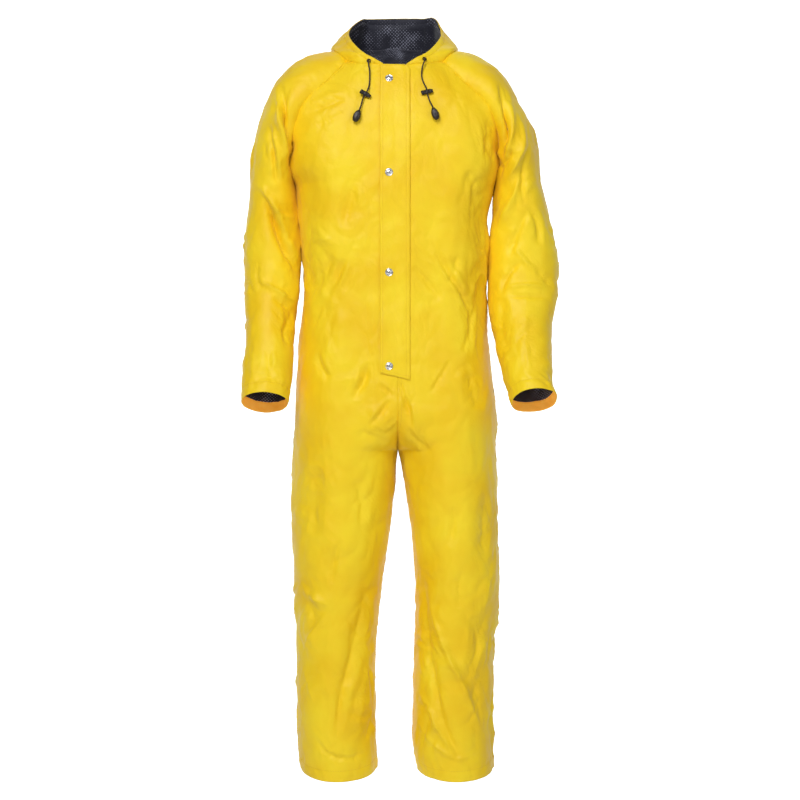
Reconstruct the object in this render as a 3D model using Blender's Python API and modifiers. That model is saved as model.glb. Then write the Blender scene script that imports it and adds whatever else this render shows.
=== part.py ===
"""Rain coverall of coated cloth, in its worn, hollow form: front and back panels from neck to hem,
raglan sleeves, a hood thrown back behind the neck, a storm flap with snaps, and hood drawcords.

Metres, +Z up, the wearer faces -Y, and the wearer's right is at -X. The origin is at the base of the
neck, between the shoulders, where the wearer's body holds the garment up.
"""

import math

import bmesh
import bpy
import numpy as np
from mathutils import Vector

# Driving dimensions
WALL = 0.0014  # coated cloth with its knitted backing
LINING_WALL = 0.0010
SEAM_GAP = 0.0003
ARMPIT = (0.203, 0.0, -0.245)
CROTCH_Z = -0.783
RISE_TOP_Z = -0.690  # where the centre seams start to turn in under the body
HEM_Z = -1.429
HEM_DROP = 0.020  # how far the hem hangs lower in front than at the sides
HEM_DROP_HEIGHT = 0.16  # the drop fades out this far above the hem
NECK_RISE = {"front": -0.016, "back": 0.011}  # from the raglan seam's end to the centre of the neck
CENTRE_FULLNESS = 0.004
ROUND = 0.552  # handle length that makes a cubic curve a quarter of a circle
REACH = 0.75  # how far a cubic curve reaches out, of the length of its two equal handles
SHOULDER_LEAN = np.array([0.45, 0.0, 0.60])  # seam handles of the shoulder, as shares of the way to its top
SHOULDER_ROUND = 0.62  # top handles of the shoulder, as a share of its depth
SHOULDER_START = 1.3  # how soon above the armpit the sleeve's section turns into the shoulder's
EDGE_TURN = 0.3  # how far the panels lean into each other at a seam
FLAP = {"left_edge": 0.030, "right_edge": -0.029, "top": -0.006, "bottom": -0.633, "slant": 0.014}
FLAP_WALL = 0.0024
FLAP_END_ROWS = {"bottom": 0.020, "top": 0.008}  # least height between the flap's ends and its next rows
FLAP_GAP = 0.0007
FACING_GAP = 0.0030
LINING_GAP = 0.0014  # between a shell and its lining
SNAP = {"radius": 0.0080, "height": 0.0030, "x": -0.0115, "heights": (-0.036, -0.227, -0.426, -0.613)}
CORD_DIAMETER = 0.003
LINING_FULLNESS = 0.84
LINING_START = 2  # the lining's first column, counted from the hood's front ends
LINING_ENDS = {"seam": 0.35, "edge": 0.12}  # share of its first and last cell that the lining stops short
HOOD_MIDDLE = np.array([0.0, 0.02, 0.05])
LOCK = {"length": 0.024, "radius": 0.0048, "bore": 0.0020}
CORD_END = {"radius": 0.0078, "length": 0.025}
EYELET = {"outer": 0.0044, "inner": 0.0024, "height": 0.0014}
SLIT = {"low": -0.732, "high": -0.612, "width": 0.014, "facing_beyond": 0.035}

QUARTER_CELLS = 5  # cells along each quarter of a body section
SLEEVE_CELLS = 8  # cells along each half of a sleeve section
HOOD_CELLS = 8
SLEEVE_ARMPIT_ROW = 14
HOOD_START = 2 * QUARTER_CELLS - 2  # column of the front panel's neck edge where the hood starts

# Widths of the body, from hem to armpit: the outline at the sides and at the inner legs
SIDE_COLUMNS = "z side_right side_left inner_right inner_left"
SIDE_ROWS = (
    (-1.429, 0.195, 0.203, -0.037, 0.045),
    (-1.382, 0.199, 0.201, -0.039, 0.036),
    (-1.283, 0.203, 0.201, -0.039, 0.037),
    (-1.160, 0.203, 0.205, -0.037, 0.039),
    (-1.062, 0.207, 0.214, -0.027, 0.042),
    (-0.963, 0.211, 0.213, -0.014, 0.034),
    (-0.865, 0.213, 0.211, -0.002, 0.021),
    (-0.800, 0.210, 0.208, 0.004, 0.010),
    (-0.783, 0.209, 0.207, 0.006, 0.006),
    (-0.717, 0.207, 0.209, 0.006, 0.006),
    (-0.644, 0.203, 0.201, 0.006, 0.006),
    (-0.558, 0.197, 0.191, 0.004, 0.004),
    (-0.472, 0.188, 0.188, 0.002, 0.002),
    (-0.353, 0.194, 0.194, 0.000, 0.000),
    (-0.245, 0.203, 0.203, 0.000, 0.000),
)

# Depths of the body at the centre, before and behind the sides
DEPTH_COLUMNS = "z front back"
DEPTH_ROWS = (
    (-1.429, 0.098, 0.100),
    (-1.283, 0.099, 0.104),
    (-1.160, 0.103, 0.108),
    (-1.062, 0.110, 0.110),
    (-0.963, 0.117, 0.116),
    (-0.865, 0.123, 0.126),
    (-0.783, 0.128, 0.135),
    (-0.717, 0.131, 0.141),
    (-0.644, 0.132, 0.141),
    (-0.558, 0.130, 0.130),
    (-0.472, 0.130, 0.118),
    (-0.353, 0.135, 0.118),
    (-0.245, 0.139, 0.132),
    (-0.150, 0.136, 0.141),
    (-0.080, 0.126, 0.136),
    (-0.030, 0.106, 0.124),
    (0.000, 0.089, 0.113),
    (0.056, 0.070, 0.102),
)

# The raglan seams before and behind each shoulder, and the line along the top of the sleeve between them
RAGLAN_COLUMNS = "v front_x front_y front_z top_right top_left top_z back_x back_y back_z"
RAGLAN_ROWS = (
    (0.000, 0.203, 0.000, -0.245, 0.297, 0.297, -0.225, 0.203, 0.000, -0.245),
    (0.125, 0.212, -0.044, -0.212, 0.292, 0.293, -0.172, 0.211, 0.050, -0.212),
    (0.250, 0.210, -0.068, -0.172, 0.281, 0.281, -0.122, 0.207, 0.080, -0.166),
    (0.375, 0.203, -0.082, -0.128, 0.267, 0.258, -0.078, 0.197, 0.099, -0.116),
    (0.500, 0.188, -0.090, -0.090, 0.246, 0.234, -0.034, 0.180, 0.108, -0.072),
    (0.625, 0.165, -0.091, -0.063, 0.220, 0.208, -0.002, 0.156, 0.109, -0.036),
    (0.750, 0.138, -0.086, -0.040, 0.184, 0.176, 0.020, 0.129, 0.104, -0.005),
    (0.875, 0.116, -0.077, -0.017, 0.153, 0.149, 0.030, 0.103, 0.096, 0.022),
    (1.000, 0.097, -0.066, 0.004, 0.129, 0.127, 0.034, 0.080, 0.087, 0.045),
)

# Sections of each sleeve from cuff to armpit: x counts outwards, tilt is the forearm's lean forward
SLEEVE_COLUMNS = "inner_x inner_z outer_x outer_z mid_y front back tilt"
SLEEVE_ROWS = {
    "right": (
        (0.212, -0.687, 0.307, -0.685, -0.118, 0.050, 0.046, 26),
        (0.207, -0.644, 0.307, -0.640, -0.098, 0.052, 0.052, 24),
        (0.206, -0.570, 0.302, -0.570, -0.064, 0.056, 0.057, 22),
        (0.203, -0.521, 0.304, -0.520, -0.042, 0.060, 0.061, 18),
        (0.200, -0.455, 0.309, -0.455, -0.018, 0.066, 0.068, 11),
        (0.201, -0.373, 0.309, -0.373, -0.004, 0.073, 0.076, 5),
        (0.203, -0.300, 0.301, -0.297, 0.000, 0.080, 0.084, 2),
        (0.203, -0.245, 0.297, -0.225, 0.000, 0.086, 0.090, 0),
    ),
    "left": (
        (0.233, -0.687, 0.326, -0.679, -0.118, 0.052, 0.044, 30),
        (0.221, -0.644, 0.316, -0.640, -0.098, 0.053, 0.052, 25),
        (0.205, -0.570, 0.318, -0.570, -0.064, 0.056, 0.057, 22),
        (0.198, -0.521, 0.321, -0.520, -0.042, 0.060, 0.061, 18),
        (0.197, -0.455, 0.332, -0.455, -0.018, 0.066, 0.068, 11),
        (0.199, -0.373, 0.332, -0.373, -0.004, 0.073, 0.076, 5),
        (0.202, -0.300, 0.313, -0.297, 0.000, 0.080, 0.084, 2),
        (0.203, -0.245, 0.297, -0.225, 0.000, 0.086, 0.090, 0),
    ),
}

# The hood, thrown back: its free edge from centre front (s=0) to centre back (s=1), and how far the
# cloth bellies out, back and down between the neck seam and that edge
HOOD_COLUMNS = "s edge_x edge_y edge_z seam_out seam_back seam_down edge_out edge_back edge_down"
HOOD_ROWS = (
    (0.00, 0.024, -0.094, -0.004, 0.000, -0.002, -0.002, 0.000, -0.001, 0.002),
    (0.15, 0.046, -0.095, 0.010, 0.002, -0.004, -0.005, 0.002, -0.003, 0.005),
    (0.30, 0.068, -0.081, 0.024, 0.006, -0.004, -0.008, 0.005, -0.003, 0.008),
    (0.45, 0.087, -0.042, 0.048, 0.010, 0.000, -0.012, 0.010, 0.000, 0.012),
    (0.60, 0.096, 0.012, 0.073, 0.018, 0.024, -0.022, 0.028, 0.018, 0.006),
    (0.70, 0.094, 0.052, 0.089, 0.012, 0.062, -0.016, 0.056, 0.048, 0.030),
    (0.80, 0.084, 0.093, 0.104, 0.002, 0.100, 0.056, 0.060, 0.086, 0.120),
    (0.90, 0.055, 0.128, 0.119, 0.002, 0.114, 0.145, 0.040, 0.114, 0.220),
    (1.00, 0.000, 0.142, 0.1235, 0.000, 0.118, 0.200, 0.000, 0.132, 0.280),
)

# Largest folds: a trough (depth below 0) or a ridge along a line, seen from the front or the back
FOLD_COLUMNS = "x0 z0 x1 z1 width depth"
FOLDS = {
    "front": (
        (-0.184, -0.091, -0.102, -0.064, 0.026, -0.005),
        (-0.084, -0.240, -0.107, -0.324, 0.022, -0.007),
        (-0.113, -0.398, -0.133, -0.465, 0.022, -0.007),
        (0.074, -0.380, 0.115, -0.449, 0.021, -0.007),
        (0.115, -0.449, 0.150, -0.560, 0.024, -0.009),
        (0.185, -0.105, 0.198, -0.180, 0.019, -0.007),
        (-0.055, -0.607, -0.082, -0.674, 0.019, -0.007),
        (-0.014, -0.686, -0.049, -0.731, 0.018, -0.007),
        (-0.041, -1.087, -0.085, -1.185, 0.024, -0.009),
        (-0.085, -1.185, -0.129, -1.386, 0.026, -0.011),
        (-0.186, -1.056, -0.135, -1.103, 0.022, -0.007),
        (0.041, -1.009, 0.078, -1.134, 0.022, 0.008),
        (0.078, -1.134, 0.154, -1.316, 0.026, 0.011),
        (0.154, -1.316, 0.182, -1.380, 0.022, 0.008),
        (0.053, -1.285, 0.122, -1.420, 0.022, -0.009),
    ),
    "back": (
        (-0.120, -0.130, -0.060, -0.330, 0.029, -0.008),
        (0.120, -0.120, 0.070, -0.300, 0.029, -0.007),
        (-0.150, -0.430, -0.030, -0.470, 0.026, -0.009),
        (0.160, -0.455, 0.040, -0.500, 0.029, -0.008),
        (-0.030, -0.760, -0.120, -0.700, 0.022, -0.009),
        (0.040, -0.770, 0.120, -0.705, 0.022, -0.009),
        (-0.130, -0.840, -0.110, -1.060, 0.029, -0.008),
        (0.130, -0.860, 0.110, -1.080, 0.029, -0.008),
        (-0.175, -1.090, -0.070, -1.120, 0.024, -0.009),
        (0.175, -1.110, 0.075, -1.130, 0.024, -0.008),
        (-0.110, -1.240, -0.160, -1.390, 0.026, 0.009),
        (0.120, -1.230, 0.080, -1.380, 0.026, 0.009),
    ),
    "sleeve_front": (
        (-0.234, -0.037, -0.221, -0.215, 0.019, 0.008),
        (-0.247, -0.121, -0.243, -0.228, 0.016, -0.007),
        (-0.273, -0.254, -0.195, -0.449, 0.021, -0.009),
        (-0.276, -0.434, -0.201, -0.475, 0.021, 0.009),
        (-0.210, -0.486, -0.232, -0.539, 0.018, -0.007),
        (0.248, -0.088, 0.244, -0.146, 0.018, -0.007),
        (0.244, -0.146, 0.209, -0.211, 0.019, -0.008),
        (0.275, -0.295, 0.236, -0.375, 0.019, -0.008),
        (0.247, -0.365, 0.285, -0.406, 0.019, 0.008),
        (0.228, -0.453, 0.314, -0.447, 0.019, 0.008),
        (0.294, -0.367, 0.322, -0.455, 0.019, 0.007),
    ),
    "sleeve_back": (
        (-0.285, -0.200, -0.230, -0.330, 0.022, -0.008),
        (-0.290, -0.420, -0.220, -0.440, 0.021, -0.009),
        (-0.285, -0.480, -0.225, -0.500, 0.019, -0.008),
        (0.290, -0.190, 0.235, -0.320, 0.022, -0.008),
        (0.310, -0.415, 0.220, -0.435, 0.021, -0.009),
        (0.300, -0.485, 0.225, -0.505, 0.019, -0.008),
    ),
}

# Drawcords, as points along the middle of the cord, from the eyelet down to the top of the cord end
CORD_ROUTES = {
    "right": (
        (-0.0526, -0.0986, 0.0014),
        (-0.0534, -0.1046, 0.0008),
        (-0.0528, -0.1092, -0.0075),
        (-0.0508, -0.1110, -0.0190),
        (-0.0503, -0.1140, -0.0320),
        (-0.0510, -0.1200, -0.0480),
        (-0.0545, -0.1289, -0.0618),
        (-0.0588, -0.1310, -0.0694),
        (-0.0631, -0.1331, -0.0770),
        (-0.0664, -0.1350, -0.0885),
        (-0.0688, -0.1384, -0.0975),
        (-0.0704, -0.1403, -0.1020),
    ),
    "left": (
        (0.0597, -0.0956, 0.0054),
        (0.0612, -0.1008, 0.0066),
        (0.0592, -0.1050, 0.0000),
        (0.0556, -0.1066, -0.0110),
        (0.0537, -0.1118, -0.0283),
        (0.0565, -0.1200, -0.0440),
        (0.0624, -0.1264, -0.0565),
        (0.0643, -0.1286, -0.0650),
        (0.0662, -0.1308, -0.0736),
        (0.0700, -0.1336, -0.0850),
        (0.0740, -0.1385, -0.0935),
        (0.0758, -0.1402, -0.0975),
    ),
}
CORD_LOCK_POINT = 7  # the route's point in the middle of the cord lock
EYELETS = {
    "right": {"at": (-0.0525, -0.0973, 0.0013), "facing": (-0.13, -0.97, 0.19)},
    "left": {"at": (0.0595, -0.0950, 0.0052), "facing": (0.30, -0.87, 0.39)},
}
LOCKS = {"right": (0.866, 0.0, -0.500), "left": (0.978, 0.0, 0.208)}  # the way each lock bar points
CORD_ENDS = {
    "right": {"at": (-0.0756, -0.1412, -0.1146), "pointing": (-0.40, -0.05, -0.915)},
    "left": {"at": (0.0803, -0.1409, -0.1103), "pointing": (0.34, -0.04, -0.940)},
}

# Turned profiles, as radius and height, from the top of each piece down its outer side
SNAP_PROFILE = ((0.0, 1.0), (0.50, 0.80), (0.64, 0.45), (0.80, 0.72), (1.0, 0.35), (1.0, 0.0), (0.0, 0.0))
END_PROFILE = (
    (0.0, 0.50),
    (0.42, 0.50),
    (0.82, 0.34),
    (1.0, 0.08),
    (0.92, -0.20),
    (0.55, -0.44),
    (0.0, -0.50),
)


def columns(names, rows):
    """The columns of a table by name."""
    return dict(zip(names.split(), np.array(rows, float).T))


def smooth(knots, values, at):
    """Values between a table's rows, on a cubic whose slopes come from the neighbouring rows."""
    at = np.clip(np.asarray(at, float), knots[0], knots[-1])
    slopes = np.gradient(values, knots)
    i = np.clip(np.searchsorted(knots, at) - 1, 0, len(knots) - 2)
    step = knots[i + 1] - knots[i]
    f = (at - knots[i]) / step
    start = values[i] * (1 + 2 * f) * (1 - f) ** 2 + slopes[i] * step * f * (1 - f) ** 2
    return start + values[i + 1] * f * f * (3 - 2 * f) - slopes[i + 1] * step * f * f * (1 - f)


def points(x, y, z):
    """Points from coordinates that may be arrays or single numbers."""
    return np.stack(np.broadcast_arrays(x, y, z), axis=-1).astype(float)


def bezier(start, start_handle, end_handle, end, cells):
    """Rows of points on cubic curves, one curve for each row of the four arrays."""
    t = np.linspace(0, 1, cells + 1)[None, :, None]
    a = start[:, None]
    b = a + start_handle[:, None]
    d = end[:, None]
    c = d + end_handle[:, None]
    return a * (1 - t) ** 3 + 3 * b * t * (1 - t) ** 2 + 3 * c * t * t * (1 - t) + d * t**3


SIDE = columns(SIDE_COLUMNS, SIDE_ROWS)
DEPTH = columns(DEPTH_COLUMNS, DEPTH_ROWS)
RAGLAN = columns(RAGLAN_COLUMNS, RAGLAN_ROWS)

LEG_HEIGHTS = np.linspace(HEM_Z, CROTCH_Z - 0.022, 12)
RISE_HEIGHTS = CROTCH_Z + (RISE_TOP_Z - CROTCH_Z) * np.array([0.0, 0.22, 0.60, 1.0])
TORSO_HEIGHTS = np.linspace(RISE_TOP_Z, ARMPIT[2], 9)[1:]
LOWER_HEIGHTS = np.concatenate([LEG_HEIGHTS, RISE_HEIGHTS, TORSO_HEIGHTS])
CROTCH_ROW = len(LEG_HEIGHTS)
ARMPIT_ROW = len(LOWER_HEIGHTS) - 1
YOKE_STEPS = np.linspace(0, 1, 9)[1:]


def body_panel(hand, face):
    """Outer points of one long panel: rows from hem to neck, columns from side to centre or inseam."""
    sign = -1 if hand == "right" else 1
    toward = -1 if face == "front" else 1
    z = LOWER_HEIGHTS
    depth = smooth(DEPTH["z"], DEPTH[face], z) * toward
    side_x = smooth(SIDE["z"], SIDE["side_" + hand], z) * sign
    inner_x = smooth(SIDE["z"], SIDE["inner_" + hand], z)
    centre_x = smooth(SIDE["z"], (SIDE["inner_right"] + SIDE["inner_left"]) / 2, z)
    inner_x = np.where(z < CROTCH_Z - SEAM_GAP, inner_x, centre_x)
    turn = np.clip((RISE_TOP_Z - z) / (RISE_TOP_Z - CROTCH_Z), 0, 1)
    full = CENTRE_FULLNESS * toward * (1 - turn)
    side = points(side_x, ARMPIT[1], z)
    inner = points(inner_x, (depth + full) * np.sqrt(1 - turn**2), z)
    crown = points((side_x + inner_x) / 2, depth, z)
    across = ROUND * (side_x - inner_x) / 2
    side_handle = points(0, ROUND * depth, 0 * z)
    inner_handle = points(across * (1 - turn), ROUND * depth * turn, 0 * z)

    v = YOKE_STEPS
    seam = points(*[smooth(RAGLAN["v"], RAGLAN[f"{face}_{axis}"], v) for axis in "xyz"])
    seam[:, 0] *= sign
    centre_z = seam[:, 2] + NECK_RISE[face] * v**2
    centre_depth = smooth(DEPTH["z"], DEPTH[face], centre_z) * toward
    centre = points(0, centre_depth + CENTRE_FULLNESS * toward, centre_z)
    middle = points(seam[:, 0] / 2, centre_depth, (seam[:, 2] + centre_z) / 2)
    forward = points(0, ROUND * (centre_depth - seam[:, 1]), 0)
    seam_handle = forward * (1 - v[:, None]) + 0.4 * (middle - seam) * v[:, None]
    middle_across = ROUND * seam[:, 0] / 2

    side = np.concatenate([side, seam])
    side_handle = np.concatenate([side_handle, seam_handle])
    crown = np.concatenate([crown, middle])
    inner = np.concatenate([inner, centre])
    inner_handle = np.concatenate([inner_handle, points(middle_across, 0, 0)])
    crown_handle = points(np.concatenate([across, middle_across]), 0, 0)
    outer_part = bezier(side, side_handle, crown_handle, crown, QUARTER_CELLS)
    inner_part = bezier(crown, -crown_handle, inner_handle, inner, QUARTER_CELLS)
    grid = np.concatenate([outer_part, inner_part[:, 1:]], axis=1)
    if face == "front":
        low = np.clip(1 - (grid[:, :, 2] - HEM_Z) / HEM_DROP_HEIGHT, 0, 1)
        frontness = np.sin(np.linspace(0, math.pi, grid.shape[1]))[None, :]
        grid[:, :, 2] -= HEM_DROP * low**2 * frontness
    return grid


def sleeve_panel(hand):
    """Outer points of one raglan sleeve: rows from cuff to neck, columns round it from the front seam."""
    sign = -1 if hand == "right" else 1
    table = columns(SLEEVE_COLUMNS, SLEEVE_ROWS[hand])
    knots = np.arange(len(table["tilt"]), dtype=float)
    u = np.linspace(0, knots[-1], SLEEVE_ARMPIT_ROW + 1)
    row = {name: smooth(knots, values, u) for name, values in table.items()}
    tilt = np.radians(row["tilt"])
    inner = points(row["inner_x"] * sign, row["mid_y"], row["inner_z"])
    outer = points(row["outer_x"] * sign, row["mid_y"], row["outer_z"])
    lean = points(0, -np.cos(tilt), np.sin(tilt))
    front = lean * row["front"][:, None] / REACH
    back = -lean * row["back"][:, None] / REACH

    v = YOKE_STEPS
    front_seam = points(*[smooth(RAGLAN["v"], RAGLAN[f"front_{axis}"], v) for axis in "xyz"])
    back_seam = points(*[smooth(RAGLAN["v"], RAGLAN[f"back_{axis}"], v) for axis in "xyz"])
    top_x = smooth(RAGLAN["v"], RAGLAN["top_" + hand], v)
    top = points(top_x * sign, 0.010 * v, smooth(RAGLAN["v"], RAGLAN["top_z"], v))
    front_seam[:, 0] *= sign
    back_seam[:, 0] *= sign
    keep = (1 - v[:, None]) ** SHOULDER_START
    front_start = front[-1] * keep + (top - front_seam) * SHOULDER_LEAN * (1 - keep)
    back_start = back[-1] * keep + (top - back_seam) * SHOULDER_LEAN * (1 - keep)
    front_top = points(0, (front_seam[:, 1] - top[:, 1]) * SHOULDER_ROUND, 0) * (1 - keep) + front[-1] * keep
    back_top = points(0, (back_seam[:, 1] - top[:, 1]) * SHOULDER_ROUND, 0) * (1 - keep) + back[-1] * keep

    front_half = bezier(
        np.concatenate([inner, front_seam]),
        np.concatenate([front, front_start]),
        np.concatenate([front, front_top]),
        np.concatenate([outer, top]),
        SLEEVE_CELLS,
    )
    back_half = bezier(
        np.concatenate([outer, top]),
        np.concatenate([back, back_top]),
        np.concatenate([back, back_start]),
        np.concatenate([inner, back_seam]),
        SLEEVE_CELLS,
    )
    return np.concatenate([front_half, back_half[:, 1:]], axis=1)


def hood_half(hand, neck, fullness=1.0):
    """Outer points of half the hood: rows from the neck seam to the free edge, columns along the neck.

    A fullness below 1 gives the shallower pouch of the lining that hangs inside the shell.
    """
    sign = -1 if hand == "right" else 1
    run = np.linalg.norm(np.diff(neck, axis=0), axis=1)
    s = np.concatenate([[0], np.cumsum(run)]) / run.sum()
    table = columns(HOOD_COLUMNS, HOOD_ROWS)
    row = {name: smooth(table["s"], values, s) for name, values in table.items()}
    edge = points(row["edge_x"] * sign, row["edge_y"], row["edge_z"])
    seam_handle = points(row["seam_out"] * sign, row["seam_back"], -row["seam_down"]) * fullness
    edge_handle = points(row["edge_out"] * sign, row["edge_back"], -row["edge_down"]) * fullness
    neck = neck + np.array([0, 0, SEAM_GAP])
    return bezier(neck, seam_handle, edge_handle, edge, HOOD_CELLS).transpose(1, 0, 2)


def normals_of(grid, away_from):
    """Unit normals of a grid of points, on the side that faces away from the line away_from."""
    normal = np.cross(np.gradient(grid, axis=1), np.gradient(grid, axis=0))
    normal /= np.linalg.norm(normal, axis=-1, keepdims=True) + 1e-12
    facing = ((grid - away_from) * normal).sum()
    return normal if facing > 0 else -normal


def fold_field(grid, normal, folds, toward):
    """Height of the folds at each point: a rounded trough or ridge along each line, fading at its ends."""
    table = columns(FOLD_COLUMNS, folds)
    height = np.zeros(grid.shape[:2])
    for x0, z0, x1, z1, width, depth in zip(*table.values()):
        run = np.array([x1 - x0, z1 - z0])
        length = np.hypot(*run)
        from_start = grid[:, :, [0, 2]] - np.array([x0, z0])
        along = (from_start @ run) / length
        across = (from_start @ np.array([-run[1], run[0]])) / length
        beyond = np.maximum(np.maximum(-along, along - length), 0)
        height += depth * np.exp(-((across / width) ** 2) - (beyond / (1.5 * width)) ** 2)
    return height * np.clip(normal[:, :, 1] * toward, 0, 1) ** 0.7


def edge(shape, which, first=0, last=None):
    """Indices of an edge of a grid, and of the points next to it.

    The start and end edges are columns, and the bottom and top edges are rows.
    """
    rows, cols = shape[:2]
    along_column = np.arange(rows)[first:last]
    along_row = np.arange(cols)[first:last]
    if which == "start":
        return (along_column, 0 * along_column), (along_column, 0 * along_column + 1)
    if which == "end":
        return (along_column, 0 * along_column + cols - 1), (along_column, 0 * along_column + cols - 2)
    if which == "bottom":
        return (0 * along_row, along_row), (0 * along_row + 1, along_row)
    return (0 * along_row + rows - 1, along_row), (0 * along_row + rows - 2, along_row)


def backwards(indices):
    """The same edge run the other way."""
    return tuple(tuple(axis[::-1] for axis in pair) for pair in indices)


def unit(vectors):
    return vectors / (np.linalg.norm(vectors, axis=-1, keepdims=True) + 1e-12)


def share_normals(grids, normals, seams, corners):
    """Give the pieces that meet at a seam one normal there, so that their edges face each other."""
    for a, (at_a, by_a), b, (at_b, by_b) in seams:
        into_a = unit(grids[a][by_a] - grids[a][at_a])
        into_b = unit(grids[b][by_b] - grids[b][at_b])
        shared = unit(normals[a][at_a] + normals[b][at_b] + EDGE_TURN * (into_a + into_b))
        normals[a][at_a] = shared
        normals[b][at_b] = shared
    for name, row, col in corners:
        normals[name][row, col] = (0, 0, -1)


def part_seams(grids, normals, seams):
    """Move the pieces apart at each seam, by half the gap each, and square their edges to that direction."""
    moves = {name: np.zeros_like(grid) for name, grid in grids.items()}
    apart = []
    for a, (at_a, by_a), b, (at_b, by_b) in seams:
        into_a = unit(grids[a][by_a] - grids[a][at_a])
        into_b = unit(grids[b][by_b] - grids[b][at_b])
        away = unit(into_a - into_b)
        moves[a][at_a] += away * SEAM_GAP / 2
        moves[b][at_b] -= away * SEAM_GAP / 2
        apart.append(away)
    for (a, (at_a, _), b, (at_b, _)), away in zip(seams, apart):
        for name, at in ((a, at_a), (b, at_b)):
            normal = normals[name][at]
            normals[name][at] = unit(normal - (normal * away).sum(axis=-1, keepdims=True) * away)
    for name in grids:
        grids[name] += moves[name]


def garment():
    """Outer points and normals of every large panel, with folds, parted at the seams."""
    grids = {}
    away_from = {}
    for hand in ("right", "left"):
        for face in ("front", "back"):
            grids[f"{face}_{hand}"] = body_panel(hand, face)
        grids["sleeve_" + hand] = sleeve_panel(hand)
        front, sleeve, back = (grids[f"{name}_{hand}"][-1] for name in ("front", "sleeve", "back"))
        neck = np.concatenate([front[HOOD_START::-1], sleeve[1:], back[1:]])
        grids["hood_" + hand] = hood_half(hand, neck)
    for name, grid in grids.items():
        if name.startswith("sleeve"):
            away_from[name] = grid.mean(axis=1, keepdims=True)
        elif name.startswith("hood"):
            away_from[name] = HOOD_MIDDLE
        else:
            away_from[name] = grid.mean(axis=1, keepdims=True) * np.array([1.0, 0.0, 1.0])

    seams = []
    corners = []
    for hand in ("right", "left"):
        front, back, sleeve, hood = (f"{name}_{hand}" for name in ("front", "back", "sleeve", "hood"))
        body = grids[front].shape
        arm = grids[sleeve].shape
        under_arm = edge(arm, "start", 0, SLEEVE_ARMPIT_ROW + 1)
        side_seam = edge(body, "start", 0, ARMPIT_ROW + 1)
        inseam = edge(body, "end", 0, CROTCH_ROW + 1)
        seams += [
            (front, side_seam, back, side_seam),
            (front, inseam, back, inseam),
            (sleeve, under_arm, sleeve, edge(arm, "end", 0, SLEEVE_ARMPIT_ROW + 1)),
            (front, edge(body, "start", ARMPIT_ROW), sleeve, edge(arm, "start", SLEEVE_ARMPIT_ROW)),
            (back, edge(body, "start", ARMPIT_ROW), sleeve, edge(arm, "end", SLEEVE_ARMPIT_ROW)),
        ]
        around = grids[hood].shape
        front_end = HOOD_START + 1
        sleeve_end = front_end + arm[1] - 1
        seams += [
            (front, backwards(edge(body, "top", 0, front_end)), hood, edge(around, "bottom", 0, front_end)),
            (sleeve, edge(arm, "top"), hood, edge(around, "bottom", front_end - 1, sleeve_end)),
            (back, edge(body, "top"), hood, edge(around, "bottom", sleeve_end - 1, around[1])),
        ]
        corners += [(front, ARMPIT_ROW, 0), (back, ARMPIT_ROW, 0)]
        corners += [(sleeve, SLEEVE_ARMPIT_ROW, 0), (sleeve, SLEEVE_ARMPIT_ROW, -1)]
        corners += [(front, CROTCH_ROW, -1), (back, CROTCH_ROW, -1)]
    for face in ("front", "back"):
        centre = edge(grids[face + "_right"].shape, "end", CROTCH_ROW)
        seams.append((face + "_right", centre, face + "_left", centre))
    centre = edge(grids["hood_right"].shape, "end")
    seams.append(("hood_right", centre, "hood_left", centre))

    normals = {name: normals_of(grid, away_from[name]) for name, grid in grids.items()}
    share_normals(grids, normals, seams, corners)
    for name, grid in grids.items():
        if name.startswith("hood"):
            continue
        region = "sleeve_" if name.startswith("sleeve") else ""
        height = 0
        for face, toward in (("front", -1), ("back", 1)):
            if region or name.startswith(face):
                height = height + fold_field(grid, normals[name], FOLDS[region + face], toward)
        grid += normals[name] * height[:, :, None]
    for name, grid in grids.items():
        normals[name] = normals_of(grid, away_from[name])
    share_normals(grids, normals, seams, corners)
    part_seams(grids, normals, seams)
    return grids, normals


def material(name, colour, roughness, metallic=0.0):
    made = bpy.data.materials.new(name)
    made.use_nodes = True
    shader = made.node_tree.nodes["Principled BSDF"]
    shader.inputs["Base Color"].default_value = (*colour, 1)
    shader.inputs["Roughness"].default_value = roughness
    shader.inputs["Metallic"].default_value = metallic
    made.diffuse_color = (*colour, 1)
    return made


def add_object(name, mesh, look, collection):
    made = bpy.data.objects.new(name, mesh)
    made.data.materials.append(look)
    collection.objects.link(made)
    return made


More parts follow.
